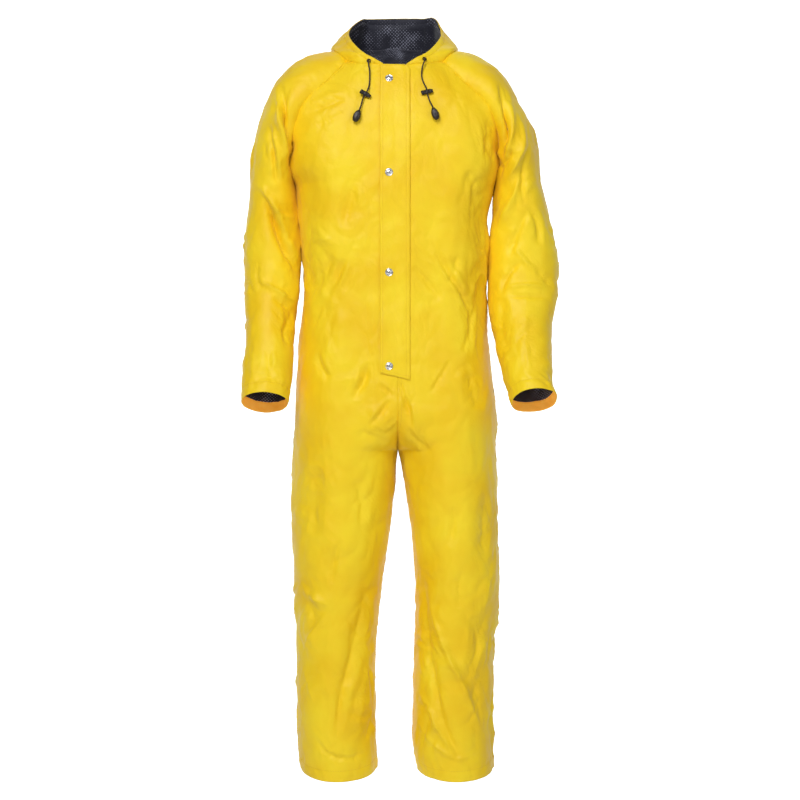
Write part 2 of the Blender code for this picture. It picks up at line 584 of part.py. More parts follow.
def cloth(name, outer, normal, thickness, look, collection):
    """A wall of cloth: the outer points, the same points moved in by the thickness, and a rim round both.

    Each cell is split along its shorter diagonal, so that a lining's facets lie along its shell's.
    """
    rows, cols = outer.shape[:2]
    count = rows * cols
    both = np.concatenate([outer.reshape(-1, 3), (outer - normal * thickness).reshape(-1, 3)])
    index = np.arange(count).reshape(rows, cols)
    a, b, c, d = (part.ravel() for part in (index[:-1, :-1], index[:-1, 1:], index[1:, 1:], index[1:, :-1]))
    first = np.linalg.norm(both[a] - both[c], axis=1) <= np.linalg.norm(both[b] - both[d], axis=1)
    one = np.where(first, [a, b, c], [a, b, d]).T
    other = np.where(first, [a, c, d], [b, c, d]).T
    split = np.concatenate([one, other])
    border = np.concatenate([index[0, :-1], index[:-1, -1], index[-1, :0:-1], index[:0:-1, 0]])
    ahead = np.roll(border, -1)
    rim = np.stack([ahead, border, border + count, ahead + count], axis=-1)
    faces = split.tolist() + (split[:, ::-1] + count).tolist() + rim.tolist()
    mesh = bpy.data.meshes.new(name)
    mesh.from_pydata(both.tolist(), [], faces)
    shaped = bmesh.new()
    shaped.from_mesh(mesh)
    bmesh.ops.recalc_face_normals(shaped, faces=shaped.faces)
    shaped.to_mesh(mesh)
    shaped.free()
    mesh.shade_smooth()
    mesh.set_sharp_from_angle(angle=math.radians(50))
    return add_object(name, mesh, look, collection)


def open_slit(panel):
    """Draw the front panel back from the side seam between the slit's ends, so that a hand can go in."""
    for row in panel[: ARMPIT_ROW + 1]:
        part_way = (row[0, 2] - SLIT["low"]) / (SLIT["high"] - SLIT["low"])
        if 0 < part_way < 1:
            run = np.concatenate([[0], np.cumsum(np.linalg.norm(np.diff(row, axis=0), axis=1))])
            shifted = run + SLIT["width"] * math.sin(math.pi * part_way) * (1 - run / run[-1])
            row[:] = np.stack([np.interp(shifted, run, row[:, axis]) for axis in range(3)], axis=-1)


def front_surface(grids, x, z):
    """How far forward the front panels' outer surface lies at x and z."""
    depths = []
    heights = []
    for right, left in zip(grids["front_right"][CROTCH_ROW + 1 :], grids["front_left"][CROTCH_ROW + 1 :]):
        row = np.concatenate([right, left[-2::-1]])
        depths.append(np.interp(x, row[:, 0], row[:, 1]))
        heights.append(np.interp(x, row[:, 0], row[:, 2]))
    return float(np.interp(z, heights, depths))


def storm_flap(grids):
    """Outer points of the flap: the front's own points over the centre seam, moved forward."""
    centre_heights = grids["front_right"][CROTCH_ROW + 1 :, -1, 2]
    lowest = FLAP["bottom"] + FLAP_END_ROWS["bottom"]
    highest = FLAP["top"] - FLAP_END_ROWS["top"]
    inside = (centre_heights > lowest) & (centre_heights < highest)
    heights = np.concatenate([[FLAP["bottom"]], centre_heights[inside], [FLAP["top"]]])
    across = np.linspace(FLAP["right_edge"], FLAP["left_edge"], 5)
    grid = np.zeros((len(heights), len(across), 3))
    for i, z in enumerate(heights):
        for j, x in enumerate(across):
            slant = FLAP["slant"] * (0.5 - j / (len(across) - 1)) if i == 0 else 0.0
            y = front_surface(grids, x, z + slant) - FLAP_GAP - FLAP_WALL
            grid[i, j] = (x, y, z + slant)
    return grid


def hood_lining(grids):
    """Outer points and normals of the hood's lining, which hangs inside the shell from edge to neck seam."""
    halves = [hood_half(hand, grids["hood_" + hand][0], LINING_FULLNESS) for hand in ("right", "left")]
    grid = np.concatenate([halves[0], halves[1][:, -2::-1]], axis=1)
    normal = normals_of(grid, HOOD_MIDDLE)
    grid[0] += (grid[1] - grid[0]) * LINING_ENDS["seam"]
    grid[-1] += (grid[-2] - grid[-1]) * LINING_ENDS["edge"]
    inside = grid - normal * (WALL + LINING_GAP)
    return inside[:, LINING_START:-LINING_START], normal[:, LINING_START:-LINING_START]


def pocket_facing(panels, hand, normals):
    """Outer points and normals of the strip that shows in the side slit: both panels' points, moved in."""
    heights = panels["front_" + hand][:, 0, 2]
    lowest = SLIT["low"] - SLIT["facing_beyond"]
    highest = SLIT["high"] + SLIT["facing_beyond"]
    rows = np.flatnonzero((heights > lowest) & (heights < highest))
    rows = rows[rows < ARMPIT_ROW]
    front, back = (panels[f"{face}_{hand}"][rows] for face in ("front", "back"))
    front_normal, back_normal = (normals[f"{face}_{hand}"][rows] for face in ("front", "back"))
    grid = np.concatenate([front[:, 2:0:-1], back[:, :2]], axis=1)
    normal = np.concatenate([front_normal[:, 2:0:-1], back_normal[:, :2]], axis=1)
    gap = np.array([FACING_GAP, FACING_GAP, FACING_GAP / 2, SEAM_GAP])  # it is sewn down on the back panel
    return grid - normal * (WALL + gap[:, None]), normal


def cuff_lining(grids, normals, hand):
    """Outer points and normals of the mesh inside the cuff, above the turned-in hem."""
    rows = slice(1, 4)
    normal = normals["sleeve_" + hand][rows]
    gap = np.array([SEAM_GAP, LINING_GAP, LINING_GAP])  # it is sewn down along the turned-in hem
    return grids["sleeve_" + hand][rows] - normal * (WALL + gap[:, None, None]), normal


def turned(name, profile, radius, height, at, pointing, look, collection, steps=12):
    """A piece turned about its own axis from a profile of radius and height, placed and pointed."""
    mesh = bpy.data.meshes.new(name)
    corners = [(r * radius, 0, h * height) for r, h in profile]
    mesh.from_pydata(corners, [(i, i + 1) for i in range(len(corners) - 1)], [])
    made = add_object(name, mesh, look, collection)
    screw = made.modifiers.new("turn", "SCREW")
    screw.steps = steps
    screw.render_steps = steps
    screw.use_merge_vertices = True
    screw.merge_threshold = 0.00001
    screw.use_smooth_shade = True
    made.location = at
    made.rotation_mode = "QUATERNION"
    made.rotation_quaternion = Vector(pointing).to_track_quat("Z", "Y")
    return made


def route_points(route, spacing):
    """Points along the smooth curve through a cord's route, at an even spacing."""
    route = np.array(route)
    run = np.concatenate([[0], np.cumsum(np.linalg.norm(np.diff(route, axis=0), axis=1))])
    at = np.linspace(0, run[-1], int(run[-1] / spacing) + 1)
    return np.stack([smooth(run, route[:, axis], at) for axis in range(3)], axis=-1)


def drawcord(name, route, look, collection):
    curve = bpy.data.curves.new(name, "CURVE")
    curve.dimensions = "3D"
    curve.bevel_depth = CORD_DIAMETER / 2
    curve.bevel_resolution = 2
    curve.use_fill_caps = True
    line = route_points(route, 2.5 * CORD_DIAMETER)
    spline = curve.splines.new("POLY")
    spline.points.add(len(line) - 1)
    for point, place in zip(spline.points, line):
        point.co = (*place, 1)
    spline.use_smooth = True
    return add_object(name, curve, look, collection)


def cylinder(name, radius, length, at, pointing, look, collection):
    mesh = bpy.data.meshes.new(name)
    shaped = bmesh.new()
    bmesh.ops.create_cone(shaped, cap_ends=True, segments=12, radius1=radius, radius2=radius, depth=length)
    shaped.to_mesh(mesh)
    shaped.free()
    made = add_object(name, mesh, look, collection)
    made.location = at
    made.rotation_mode = "QUATERNION"
    made.rotation_quaternion = Vector(pointing).to_track_quat("Z", "Y")
    return made


def cord_lock(hand, look, collection, cutters):
    """A bar with rounded ends and a bore across its middle, in which the cord lies."""
    route = CORD_ROUTES[hand]
    middle = Vector(route[CORD_LOCK_POINT])
    along = Vector(route[CORD_LOCK_POINT + 1]) - Vector(route[CORD_LOCK_POINT - 1])
    bar = cylinder("cord_lock_" + hand, LOCK["radius"], LOCK["length"], middle, LOCKS[hand], look, collection)
    bevel = bar.modifiers.new("rounded ends", "BEVEL")
    bevel.width = 0.0016
    bevel.segments = 1
    bevel.limit_method = "ANGLE"
    bevel.angle_limit = math.radians(60)
    bore = cylinder("bore_" + hand, LOCK["bore"], 0.03, middle, along, look, cutters)
    bore.hide_render = True
    bore.display_type = "WIRE"
    cut = bar.modifiers.new("bore", "BOOLEAN")
    cut.operation = "DIFFERENCE"
    cut.object = bore
    cut.solver = "EXACT"
    return bar


def main():
    for old in list(bpy.data.objects):
        bpy.data.objects.remove(old, do_unlink=True)
    collection = bpy.data.collections.new("rain_coverall")
    cutters = bpy.data.collections.new("cutters")
    for made in (collection, cutters):
        bpy.context.scene.collection.children.link(made)
    looks = {
        "coated_cloth": material("coated_cloth", (0.90, 0.62, 0.02), 0.45),
        "mesh_lining": material("mesh_lining", (0.03, 0.03, 0.05), 0.9),
        "snap_metal": material("snap_metal", (0.75, 0.75, 0.77), 0.3, 1.0),
        "cord_braid": material("cord_braid", (0.03, 0.02, 0.02), 0.8),
        "dark_plastic": material("dark_plastic", (0.02, 0.015, 0.015), 0.5),
    }
    grids, normals = garment()
    closed = {name: grid.copy() for name, grid in grids.items()}
    for hand in ("right", "left"):
        open_slit(grids["front_" + hand])
    for name in grids:
        cloth(name, grids[name], normals[name], WALL, looks["coated_cloth"], collection)
    lining, lining_normal = hood_lining(grids)
    cloth("hood_lining", lining, lining_normal, LINING_WALL, looks["mesh_lining"], collection)
    flap = storm_flap(grids)
    ahead = np.broadcast_to(np.array([0.0, -1.0, 0.0]), flap.shape)
    cloth("storm_flap", flap, ahead, FLAP_WALL, looks["coated_cloth"], collection)
    for i, z in enumerate(SNAP["heights"]):
        near = SNAP["radius"]
        above, below = (front_surface(grids, SNAP["x"], z + step) for step in (near, -near))
        facing = Vector((0, -1, (above - below) / (2 * near))).normalized()
        base = Vector((SNAP["x"], front_surface(grids, SNAP["x"], z) - FLAP_GAP - FLAP_WALL, z))
        place = base + facing * 3 * SEAM_GAP
        name = f"snap_{i + 1}"
        size = (SNAP["radius"], SNAP["height"])
        turned(name, SNAP_PROFILE, *size, place, facing, looks["snap_metal"], collection)
    ring = EYELET["outer"]
    bore = EYELET["inner"] / ring
    eyelet_profile = ((bore, 0.6), (0.5 + bore / 2, 1.0), (1.0, 0.5), (1.0, 0.0), (bore, 0.0), (bore, 0.6))
    for hand in ("right", "left"):
        inner, inner_normal = cuff_lining(grids, normals, hand)
        cloth("cuff_lining_" + hand, inner, inner_normal, LINING_WALL, looks["mesh_lining"], collection)
        inner, inner_normal = pocket_facing(closed, hand, normals)
        cloth("pocket_facing_" + hand, inner, inner_normal, LINING_WALL, looks["coated_cloth"], collection)
        at, facing = EYELETS[hand]["at"], EYELETS[hand]["facing"]
        size = (ring, EYELET["height"])
        turned("eyelet_" + hand, eyelet_profile, *size, at, facing, looks["snap_metal"], collection)
        drawcord("drawcord_" + hand, CORD_ROUTES[hand], looks["cord_braid"], collection)
        cord_lock(hand, looks["dark_plastic"], collection, cutters)
        end = CORD_ENDS[hand]
        upward = -Vector(end["pointing"])
        size = (CORD_END["radius"], CORD_END["length"])
        turned("cord_end_" + hand, END_PROFILE, *size, end["at"], upward, looks["dark_plastic"], collection)


main()
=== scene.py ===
import math

import bpy
import numpy as np
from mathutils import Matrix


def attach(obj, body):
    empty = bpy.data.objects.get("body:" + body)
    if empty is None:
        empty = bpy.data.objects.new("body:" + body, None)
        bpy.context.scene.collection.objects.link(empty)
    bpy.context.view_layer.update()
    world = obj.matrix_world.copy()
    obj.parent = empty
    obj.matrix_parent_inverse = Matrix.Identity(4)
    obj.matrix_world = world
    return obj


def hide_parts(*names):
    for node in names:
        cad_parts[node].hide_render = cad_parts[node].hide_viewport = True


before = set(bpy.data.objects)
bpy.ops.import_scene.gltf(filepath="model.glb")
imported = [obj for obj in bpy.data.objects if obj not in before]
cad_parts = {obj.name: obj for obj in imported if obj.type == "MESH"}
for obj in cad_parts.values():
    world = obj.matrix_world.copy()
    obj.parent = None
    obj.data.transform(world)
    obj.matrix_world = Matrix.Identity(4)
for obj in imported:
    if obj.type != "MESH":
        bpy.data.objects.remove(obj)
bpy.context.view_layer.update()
mm = 0.001
print("frame loaded")


# Small tools

def toLinear(hexColour):  # an sRGB hex colour as linear red, green, blue and alpha
    value = np.array([int(hexColour[i : i + 2], 16) for i in (1, 3, 5)]) / 255
    linear = np.where(value <= 0.04045, value / 12.92, ((value + 0.055) / 1.055) ** 2.4)
    return (*linear.tolist(), 1.0)


def add(tree, kind, settings=None, inputs=None, links=None):  # a node, its settings, numbers and links
    node = tree.nodes.new(kind)
    for name, value in (settings or {}).items():
        setattr(node, name, value)
    for name, value in (inputs or {}).items():
        node.inputs[name].default_value = value
    for name, source in (links or {}).items():
        tree.links.new(source, node.inputs[name])
    return node


def columnsOf(names, rows):  # a table's columns by name
    return dict(zip(names.split(), np.array(rows, float).T))


def smooth(knots, values, at):  # a cubic through the table's rows, with slopes from the rows on each side
    at = np.clip(np.asarray(at, float), knots[0], knots[-1])
    slopes = np.gradient(values, knots)
    i = np.clip(np.searchsorted(knots, at) - 1, 0, len(knots) - 2)
    step = knots[i + 1] - knots[i]
    f = (at - knots[i]) / step
    start = values[i] * (1 + 2 * f) * (1 - f) ** 2 + slopes[i] * step * f * (1 - f) ** 2
    return start + values[i + 1] * f * f * (3 - 2 * f) - slopes[i + 1] * step * f * f * (1 - f)


def pointsOf(x, y, z):
    return np.stack(np.broadcast_arrays(x, y, z), axis=-1).astype(float)


def curves(start, startHandle, endHandle, end, t):  # cubic Bezier curves, one row of points for each start
    t = t[None, :, None]
    a = start[:, None]
    b = a + startHandle[:, None]
    d = end[:, None]
    c = d + endHandle[:, None]
    return a * (1 - t) ** 3 + 3 * b * t * (1 - t) ** 2 + 3 * c * t * t * (1 - t) + d * t**3


def unit(vectors):
    return vectors / (np.linalg.norm(vectors, axis=-1, keepdims=True) + 1e-12)


def lengthsAlong(line):  # running length of a line of points
    return np.concatenate([[0], np.cumsum(np.linalg.norm(np.diff(line, axis=0), axis=1))])


def resample(line, count):  # the same smooth line with points at even distances
    run = lengthsAlong(line)
    at = np.linspace(0, run[-1], count)
    return np.stack([smooth(run, line[:, axis], at) for axis in range(line.shape[1])], axis=-1)


def waves(at, size, count, seed):  # sum of plane waves in random directions, about size long, spread about 1
    chance = np.random.default_rng(seed)
    direction = unit(chance.normal(size=(count, 3))) / np.array(size)
    phase = chance.uniform(0, 2 * math.pi, count)
    return np.sin(2 * math.pi * (at @ direction.T) + phase).sum(axis=-1) / math.sqrt(count / 2)


def ease(low, high, value):  # 0 below low, 1 above high, and a smooth step between
    f = np.clip((value - low) / (high - low), 0, 1)
    return f * f * (3 - 2 * f)


def normalsOf(grid, awayFrom):  # unit normals of a grid, pointing away from awayFrom
    normal = unit(np.cross(np.gradient(grid, axis=1), np.gradient(grid, axis=0)))
    return normal if ((grid - awayFrom) * normal).sum() > 0 else -normal


# Camera: level with the middle of the coverall and 5 m away, so that 800 pixels span 1.64 m at the body

view = {"x": 0.01025, "height": -0.6806, "distance": 5.0, "frameWidth": 1.64, "sensor": 36.0}

cameraData = bpy.data.cameras.new("camera")
cameraData.sensor_width = view["sensor"]
cameraData.lens = view["sensor"] * view["distance"] / view["frameWidth"]
camera = bpy.data.objects.new("camera", cameraData)
camera.location = (view["x"], -view["distance"], view["height"])
camera.rotation_euler = (math.pi / 2, 0, 0)
bpy.context.scene.collection.objects.link(camera)
bpy.context.scene.camera = camera


# Materials

def newMaterial(name, numbers):  # a Principled material, its parts, and the place in the object's own metres
    made = bpy.data.materials.new(name)
    made.use_nodes = True
    tree = made.node_tree
    shader = tree.nodes["Principled BSDF"]
    for socket, value in numbers.items():
        shader.inputs[socket].default_value = value
    return made, tree, shader, add(tree, "ShaderNodeTexCoord").outputs["Object"]


def noise(tree, place, scale, detail=2.0, output="Fac"):  # cloudy noise, with so many patches to the metre
    inputs = {"Scale": scale, "Detail": detail}
    return add(tree, "ShaderNodeTexNoise", inputs=inputs, links={"Vector": place}).outputs[output]


def mapped(tree, value, low, high, fromLow=0.0, fromHigh=1.0):  # a value carried into another range
    inputs = {"From Min": fromLow, "From Max": fromHigh, "To Min": low, "To Max": high}
    return add(tree, "ShaderNodeMapRange", inputs=inputs, links={"Value": value}).outputs["Result"]


def paired(tree, operation, first, second):  # two values put together
    return add(tree, "ShaderNodeMath", {"operation": operation}, links={0: first, 1: second}).outputs["Value"]


def alongCloth(tree):  # the place across and along the cloth, in metres
    return add(tree, "ShaderNodeUVMap", {"uv_map": "cloth"}).outputs["UV"]


def rotated(tree, place, degrees):
    inputs = {"Rotation": (0, 0, math.radians(degrees))}
    return add(tree, "ShaderNodeMapping", inputs=inputs, links={"Vector": place}).outputs["Vector"]


def bands(tree, place, repeat, direction="X", distortion=0.0):  # soft bands, one to each repeat
    scale = 0.314 / repeat  # because a scale of 1 repeats every 0.314 m
    inputs = {"Scale": scale, "Distortion": distortion, "Detail": 1.0}
    settings = {"bands_direction": direction}
    return add(tree, "ShaderNodeTexWave", settings, inputs, {"Vector": place}).outputs["Fac"]


def finishLook(tree, shader, factor, between, colours, layers):
    # A run from the first colour to the second between two values of the factor, and a chain of bumps from
    # the layers, each a height with its depth in metres
    ramp = add(tree, "ShaderNodeValToRGB", links={"Fac": factor})
    for stop, position, colour in zip(ramp.color_ramp.elements, between, colours):
        stop.position = position
        stop.color = toLinear(colour)
    tree.links.new(ramp.outputs["Color"], shader.inputs["Base Color"])
    normal = None
    for height, depth in layers:
        links = {"Height": height, "Normal": normal} if normal else {"Height": height}
        bump = add(tree, "ShaderNodeBump", inputs={"Strength": 1.0, "Distance": depth}, links=links)
        normal = bump.outputs["Normal"]
    tree.links.new(normal, shader.inputs["Normal"])


def coatedNylon():
    # Woven nylon with a soft polyurethane coat, rolled on: an even, deep yellow, a broad dull gloss, and
    # a skin that crinkles finely wherever the cloth has been bent. The weave shows through it faintly.
    look = {"colours": ("#F4C904", "#FADA1C"), "rough": (0.45, 0.59), "grain": 3.2 * mm, "weave": 1.6 * mm}
    crinkle = {"size": 12 * mm, "slope": 0.09, "push": 0.06, "least": 0.25}  # least: where nothing is bent
    made, tree, shader, place = newMaterial("coated_nylon", {"IOR": 1.42, "Sheen Weight": 0.05})
    patch = noise(tree, place, 9.0, 3.0)
    rough = mapped(tree, noise(tree, place, 40.0, 4.0), *look["rough"])
    tree.links.new(rough, shader.inputs["Roughness"])
    # small flat facets with sharp edges between them, most where the attribute says the cloth is bent
    pushed = add(
        tree,
        "ShaderNodeVectorMath",
        {"operation": "MULTIPLY_ADD"},
        {1: (crinkle["push"],) * 3},
        {0: noise(tree, place, 14.0, 1.0, "Color"), 2: place},
    )
    cell = add(
        tree,
        "ShaderNodeTexVoronoi",
        {"feature": "DISTANCE_TO_EDGE"},
        {"Scale": 1 / crinkle["size"]},
        {"Vector": pushed.outputs["Vector"]},
    )
    bent = add(tree, "ShaderNodeAttribute", {"attribute_name": "bent"}).outputs["Fac"]
    facets = paired(tree, "MULTIPLY", cell.outputs["Distance"], mapped(tree, bent, crinkle["least"], 1.0))
    grain = noise(tree, place, 1 / look["grain"])
    # threads lie 0.4 mm apart; drawn four times as coarse, because finer would not show
    threads = [bands(tree, alongCloth(tree), look["weave"], direction, 0.6) for direction in ("X", "Y")]
    weave = paired(tree, "MULTIPLY", *threads)
    layers = ((facets, crinkle["slope"] * crinkle["size"]), (grain, 0.22 * mm), (weave, 0.05 * mm))
    finishLook(tree, shader, patch, (0.35, 0.65), look["colours"], layers)
    return made


def nylonBack():
    # The uncoated side of the same cloth: dull and warmer, with its weave plain to see. It is a little paler,
    # partly its own colour and partly painted light that lifts the shaded insides of the hems and cuffs. It
    # glows faintly: a painted glow that stands for the light that comes through the cloth.
    look = {"colours": ("#F6AE4A", "#FBBE62"), "through": "#FFB238", "weave": 1.6 * mm}
    # painted glow: an emission standing in for the light that comes through the cloth
    numbers = {"Roughness": 0.75, "Emission Color": toLinear(look["through"]), "Emission Strength": 0.35}
    made, tree, shader, place = newMaterial("nylon_back", numbers)
    patch = noise(tree, place, 60.0, 3.0)
    layers = ((noise(tree, place, 1 / look["weave"]), 0.2 * mm),)
    finishLook(tree, shader, patch, (0.35, 0.65), look["colours"], layers)
    return made


def knittedMesh(seenFrom="cloth"):
    # Warp-knitted polyester mesh: charcoal navy yarn round small holes in staggered rows. The holes of the
    # real cloth lie 2.5 mm apart and are drawn twice as coarse here, because they would not show.
    # The grey dots between the holes are a painted highlight, the light the yarn catches there, so the cloth
    # looks dotted.
    look = {"colours": ("#2A2B38", "#8E90A2"), "spacing": 4.8 * mm, "highlightDots": (0.02, 0.36)}
    numbers = {"Roughness": 0.7, "Sheen Weight": 0.25, "Sheen Roughness": 0.4}
    made, tree, shader, place = newMaterial("knitted_mesh", numbers)
    if seenFrom == "front":  # the hood's lining: rows of holes in X and Z, as it hangs
        apart = add(tree, "ShaderNodeSeparateXYZ", links={0: place}).outputs
        cloth = add(tree, "ShaderNodeCombineXYZ", links={"X": apart["X"], "Y": apart["Z"]}).outputs[0]
    else:
        cloth = alongCloth(tree)
    hole = add(
        tree,
        "ShaderNodeTexVoronoi",
        {"voronoi_dimensions": "2D"},
        {"Scale": 1 / look["spacing"], "Randomness": 0.12},
        {"Vector": rotated(tree, cloth, 45)},
    ).outputs["Distance"]
    size = mapped(tree, noise(tree, place, 28.0), *look["highlightDots"], 0.38, 0.66)  # of a painted highlight dot, and none in places
    highlightDot = paired(tree, "LESS_THAN", hole, size)
    finishLook(tree, shader, highlightDot, (0.0, 1.0), look["colours"], ((hole, 0.5 * mm),))
    return made


def platedBrass(name="plated_brass", colours=("#C9CBD0", "#EEEFF2")):
    # Pressed brass with a nickel plate: a bright cool metal, slightly brushed by wear.
    made, tree, shader, place = newMaterial(name, {"Metallic": 1.0})
    wear = noise(tree, place, 900.0, 4.0)
    tree.links.new(mapped(tree, wear, 0.14, 0.34), shader.inputs["Roughness"])
    finishLook(tree, shader, wear, (0.3, 0.7), colours, ((wear, 0.02 * mm),))
    return made


def braidedPolyester():
    # Round polyester braid, dark brown: two sets of yarns cross round the cord, about 2 mm a repeat.
    look = {"colours": ("#1B1210", "#4A3833"), "repeat": 2.0 * mm, "slants": (45, -45)}
    made, tree, shader, place = newMaterial("braided_polyester", {"Roughness": 0.8})
    slanted = [rotated(tree, alongCloth(tree), turn) for turn in look["slants"]]
    yarns = [bands(tree, place, 0.7 * look["repeat"]) for place in slanted]
    over = paired(tree, "MAXIMUM", *yarns)
    finishLook(tree, shader, over, (0.3, 1.0), look["colours"], ((over, 0.35 * mm),))
    return made


def mouldedAcetal():
    # Injection-moulded acetal, dark brown: a fine spark-eroded grain and a low gloss, rubbed paler in places.
    made, tree, shader, place = newMaterial("moulded_acetal", {"Roughness": 0.38, "IOR": 1.48})
    rub = noise(tree, place, 220.0, 3.0)
    layers = ((rub, 0.1 * mm), (noise(tree, place, 2200.0, 1.0), 0.04 * mm))
    finishLook(tree, shader, rub, (0.4, 0.75), ("#15100F", "#3A302D"), layers)
    return made


def sewingThread():
    # Spun polyester thread dyed to match: duller and deeper than the coated cloth, with a fine twist.
    made, tree, shader, place = newMaterial("sewing_thread", {"Roughness": 0.7})
    twist = noise(tree, place, 1400.0)
    finishLook(tree, shader, twist, (0.3, 0.7), ("#D6A408", "#F0C81C"), ((twist, 0.15 * mm),))
    return made


nylon = coatedNylon()
backing = nylonBack()
meshCloth = knittedMesh()
hoodMesh = knittedMesh("front")
metal = platedBrass()
blackened = platedBrass("blackened_brass", ("#241E1A", "#3D342D"))  # the eyelets, dark as the cords
braid = braidedPolyester()
acetal = mouldedAcetal()
thread = sewingThread()
print("materials made")


# Mesh making

def meshObject(name, points, faces, looks, uv=None, looksOfFaces=None):
    mesh = bpy.data.meshes.new(name)
    mesh.from_pydata(points, [], faces)
    for look in looks:
        mesh.materials.append(look)
    if looksOfFaces is not None:
        mesh.polygons.foreach_set("material_index", looksOfFaces.astype(np.int32))
    if uv is not None:
        corners = np.zeros(len(mesh.loops), np.int32)
        mesh.loops.foreach_get("vertex_index", corners)
        layer = mesh.uv_layers.new(name="cloth")
        layer.data.foreach_set("uv", uv[corners].astype(np.float32).ravel())
    mesh.shade_smooth()
    made = bpy.data.objects.new(name, mesh)
    bpy.context.scene.collection.objects.link(made)
    return made


def handOver(made, stands=()):  # tell the frame what it rides on and stands for
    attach(made, "root")
    if stands:
        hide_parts(*stands)
    return made


def faceOutward(made):  # turn a closed mesh's faces outward, by the sign of the volume they enclose
    mesh = made.data
    mesh.calc_loop_triangles()
    points = np.zeros(3 * len(mesh.vertices), np.float32)
    mesh.vertices.foreach_get("co", points)
    corners = np.zeros(3 * len(mesh.loop_triangles), np.int32)
    mesh.loop_triangles.foreach_get("vertices", corners)
    a, b, c = points.reshape(-1, 3).astype(float)[corners.reshape(-1, 3)].transpose(1, 0, 2)
    if (a * np.cross(b, c)).sum() < 0:
        mesh.flip_normals()


def gridFaces(rows, cols, around=False, closed=False):
    # The corners of each cell. Around joins the last column to the first, and closed the last row.
    index = np.pad(np.arange(rows * cols).reshape(rows, cols), ((0, int(closed)), (0, int(around))), "wrap")
    return np.stack([index[:-1, :-1], index[:-1, 1:], index[1:, 1:], index[1:, :-1]], axis=-1).reshape(-1, 4)


def cappedFaces(rows, count):  # a tube's faces, with a fan at each end to a point listed after its rows
    around = np.arange(count)
    low = (rows - 1) * count + around
    top = np.stack([around, np.full(count, rows * count), np.roll(around, -1)], axis=-1)
    bottom = np.stack([np.roll(low, -1), np.full(count, rows * count + 1), low], axis=-1)
    return gridFaces(rows, count, around=True).tolist() + top.tolist() + bottom.tolist()


def spansOf(grid):  # distances along the cloth from each edge of a grid
    across = np.cumsum(np.linalg.norm(np.diff(grid, axis=1, prepend=grid[:, :1]), axis=2), axis=1)
    along = np.cumsum(np.linalg.norm(np.diff(grid, axis=0, prepend=grid[:1]), axis=2), axis=0)
    return {"start": across, "end": across[:, -1:] - across, "bottom": along, "top": along[-1:] - along}


clothEdge = {"round": 0.35, "bent": 0.3}  # a rim's bulge, of the wall; how bent cloth without creases is


def clothPiece(name, outer, normal, wall, looks, bent=None, insideLooks=None):
    # A sheet with a thickness: the outer points, the same points moved in by the wall, and a rounded rim
    # between them, whose middle stands out past the edge by a share of the wall. It stands for the solid of
    # the same name.
    rows, cols = outer.shape[:2]
    count = rows * cols
    index = np.arange(count).reshape(rows, cols)
    border = np.concatenate([index[0, :-1], index[:-1, -1], index[-1, :0:-1], index[:0:-1, 0]])
    flat = outer.reshape(-1, 3)
    inner = flat - normal.reshape(-1, 3) * wall
    outwards = np.zeros_like(outer)
    outwards[0] += unit(outer[0] - outer[1])
    outwards[-1] += unit(outer[-1] - outer[-2])
    outwards[:, 0] += unit(outer[:, 0] - outer[:, 1])
    outwards[:, -1] += unit(outer[:, -1] - outer[:, -2])
    bulge = unit(outwards.reshape(-1, 3)[border]) * wall * clothEdge["round"]
    rim = (flat[border] + inner[border]) / 2 + bulge

    faces = gridFaces(rows, cols)
    ring = np.arange(len(border)) + 2 * count
    ahead, ringAhead = np.roll(border, -1), np.roll(ring, -1)
    upper = np.stack([ahead, border, ring, ringAhead], axis=-1)
    lower = np.stack([ringAhead, ring, border + count, ahead + count], axis=-1)
    a, b, d = (flat[faces[:, corner]] for corner in (0, 1, 3))
    upwards = normal.reshape(-1, 3)[faces[:, 0]]
    if (np.cross(b - a, d - a) * upwards).sum() < 0:  # they wind against the normals
        faces, upper, lower = faces[:, ::-1], upper[:, ::-1], lower[:, ::-1]
    allFaces = np.concatenate([faces, faces[:, [0, 3, 2, 1]] + count, upper, lower])

    inside, rimLooks = np.ones(len(faces)), np.zeros(len(border))
    if insideLooks is not None:
        inside = insideLooks[:-1, :-1].ravel()
        rimLooks = np.where(insideLooks.ravel()[border] == 2, 2, 0)
    lookOf = np.concatenate([np.zeros(len(faces)), inside, rimLooks, rimLooks])
    span = spansOf(outer)
    middle = span["start"][:, cols // 2, None]
    uv = np.stack([span["start"] - middle, span["bottom"]], axis=-1).reshape(-1, 2)
    points = np.concatenate([flat, inner, rim])
    uv = np.concatenate([uv, uv, uv[border]])
    made = meshObject(name + "_cloth", points, allFaces, looks, uv, lookOf if len(looks) > 1 else None)
    share = np.full(count, clothEdge["bent"]) if bent is None else bent.ravel()
    attribute = made.data.attributes.new("bent", "FLOAT", "POINT")
    attribute.data.foreach_set("value", np.concatenate([share, share, share[border]]).astype(np.float32))
    handOver(made, [name])


# Garment measures, in metres: the wearer faces -Y and the wearer's right is at -X

body = {
    "armpit": (0.203, 0.0, -0.245),
    "crotch": -0.783,
    "riseTop": -0.690,
    "hem": -1.429,
    "hemDrop": 0.020,
    "hemDropHeight": 0.16,
    "neckRise": {"front": -0.016, "back": 0.011},
    "centreFullness": 0.004,
    "wall": 0.0014,
    "hemBand": 0.022,
}
cells = {  # rows up each part, and columns across a quarter of the body or half of a sleeve
    "leg": 186,
    "rise": 30,
    "torso": 130,
    "yoke": 94,
    "sleeve": 122,
    "frontQuarter": 46,
    "backQuarter": 30,
    "sleeveHalf": 45,
}
quarterRound = 0.552  # handle length that makes a cubic curve a quarter of a circle
handleReach = 0.75  # how far a cubic curve reaches out, of the length of its two equal handles

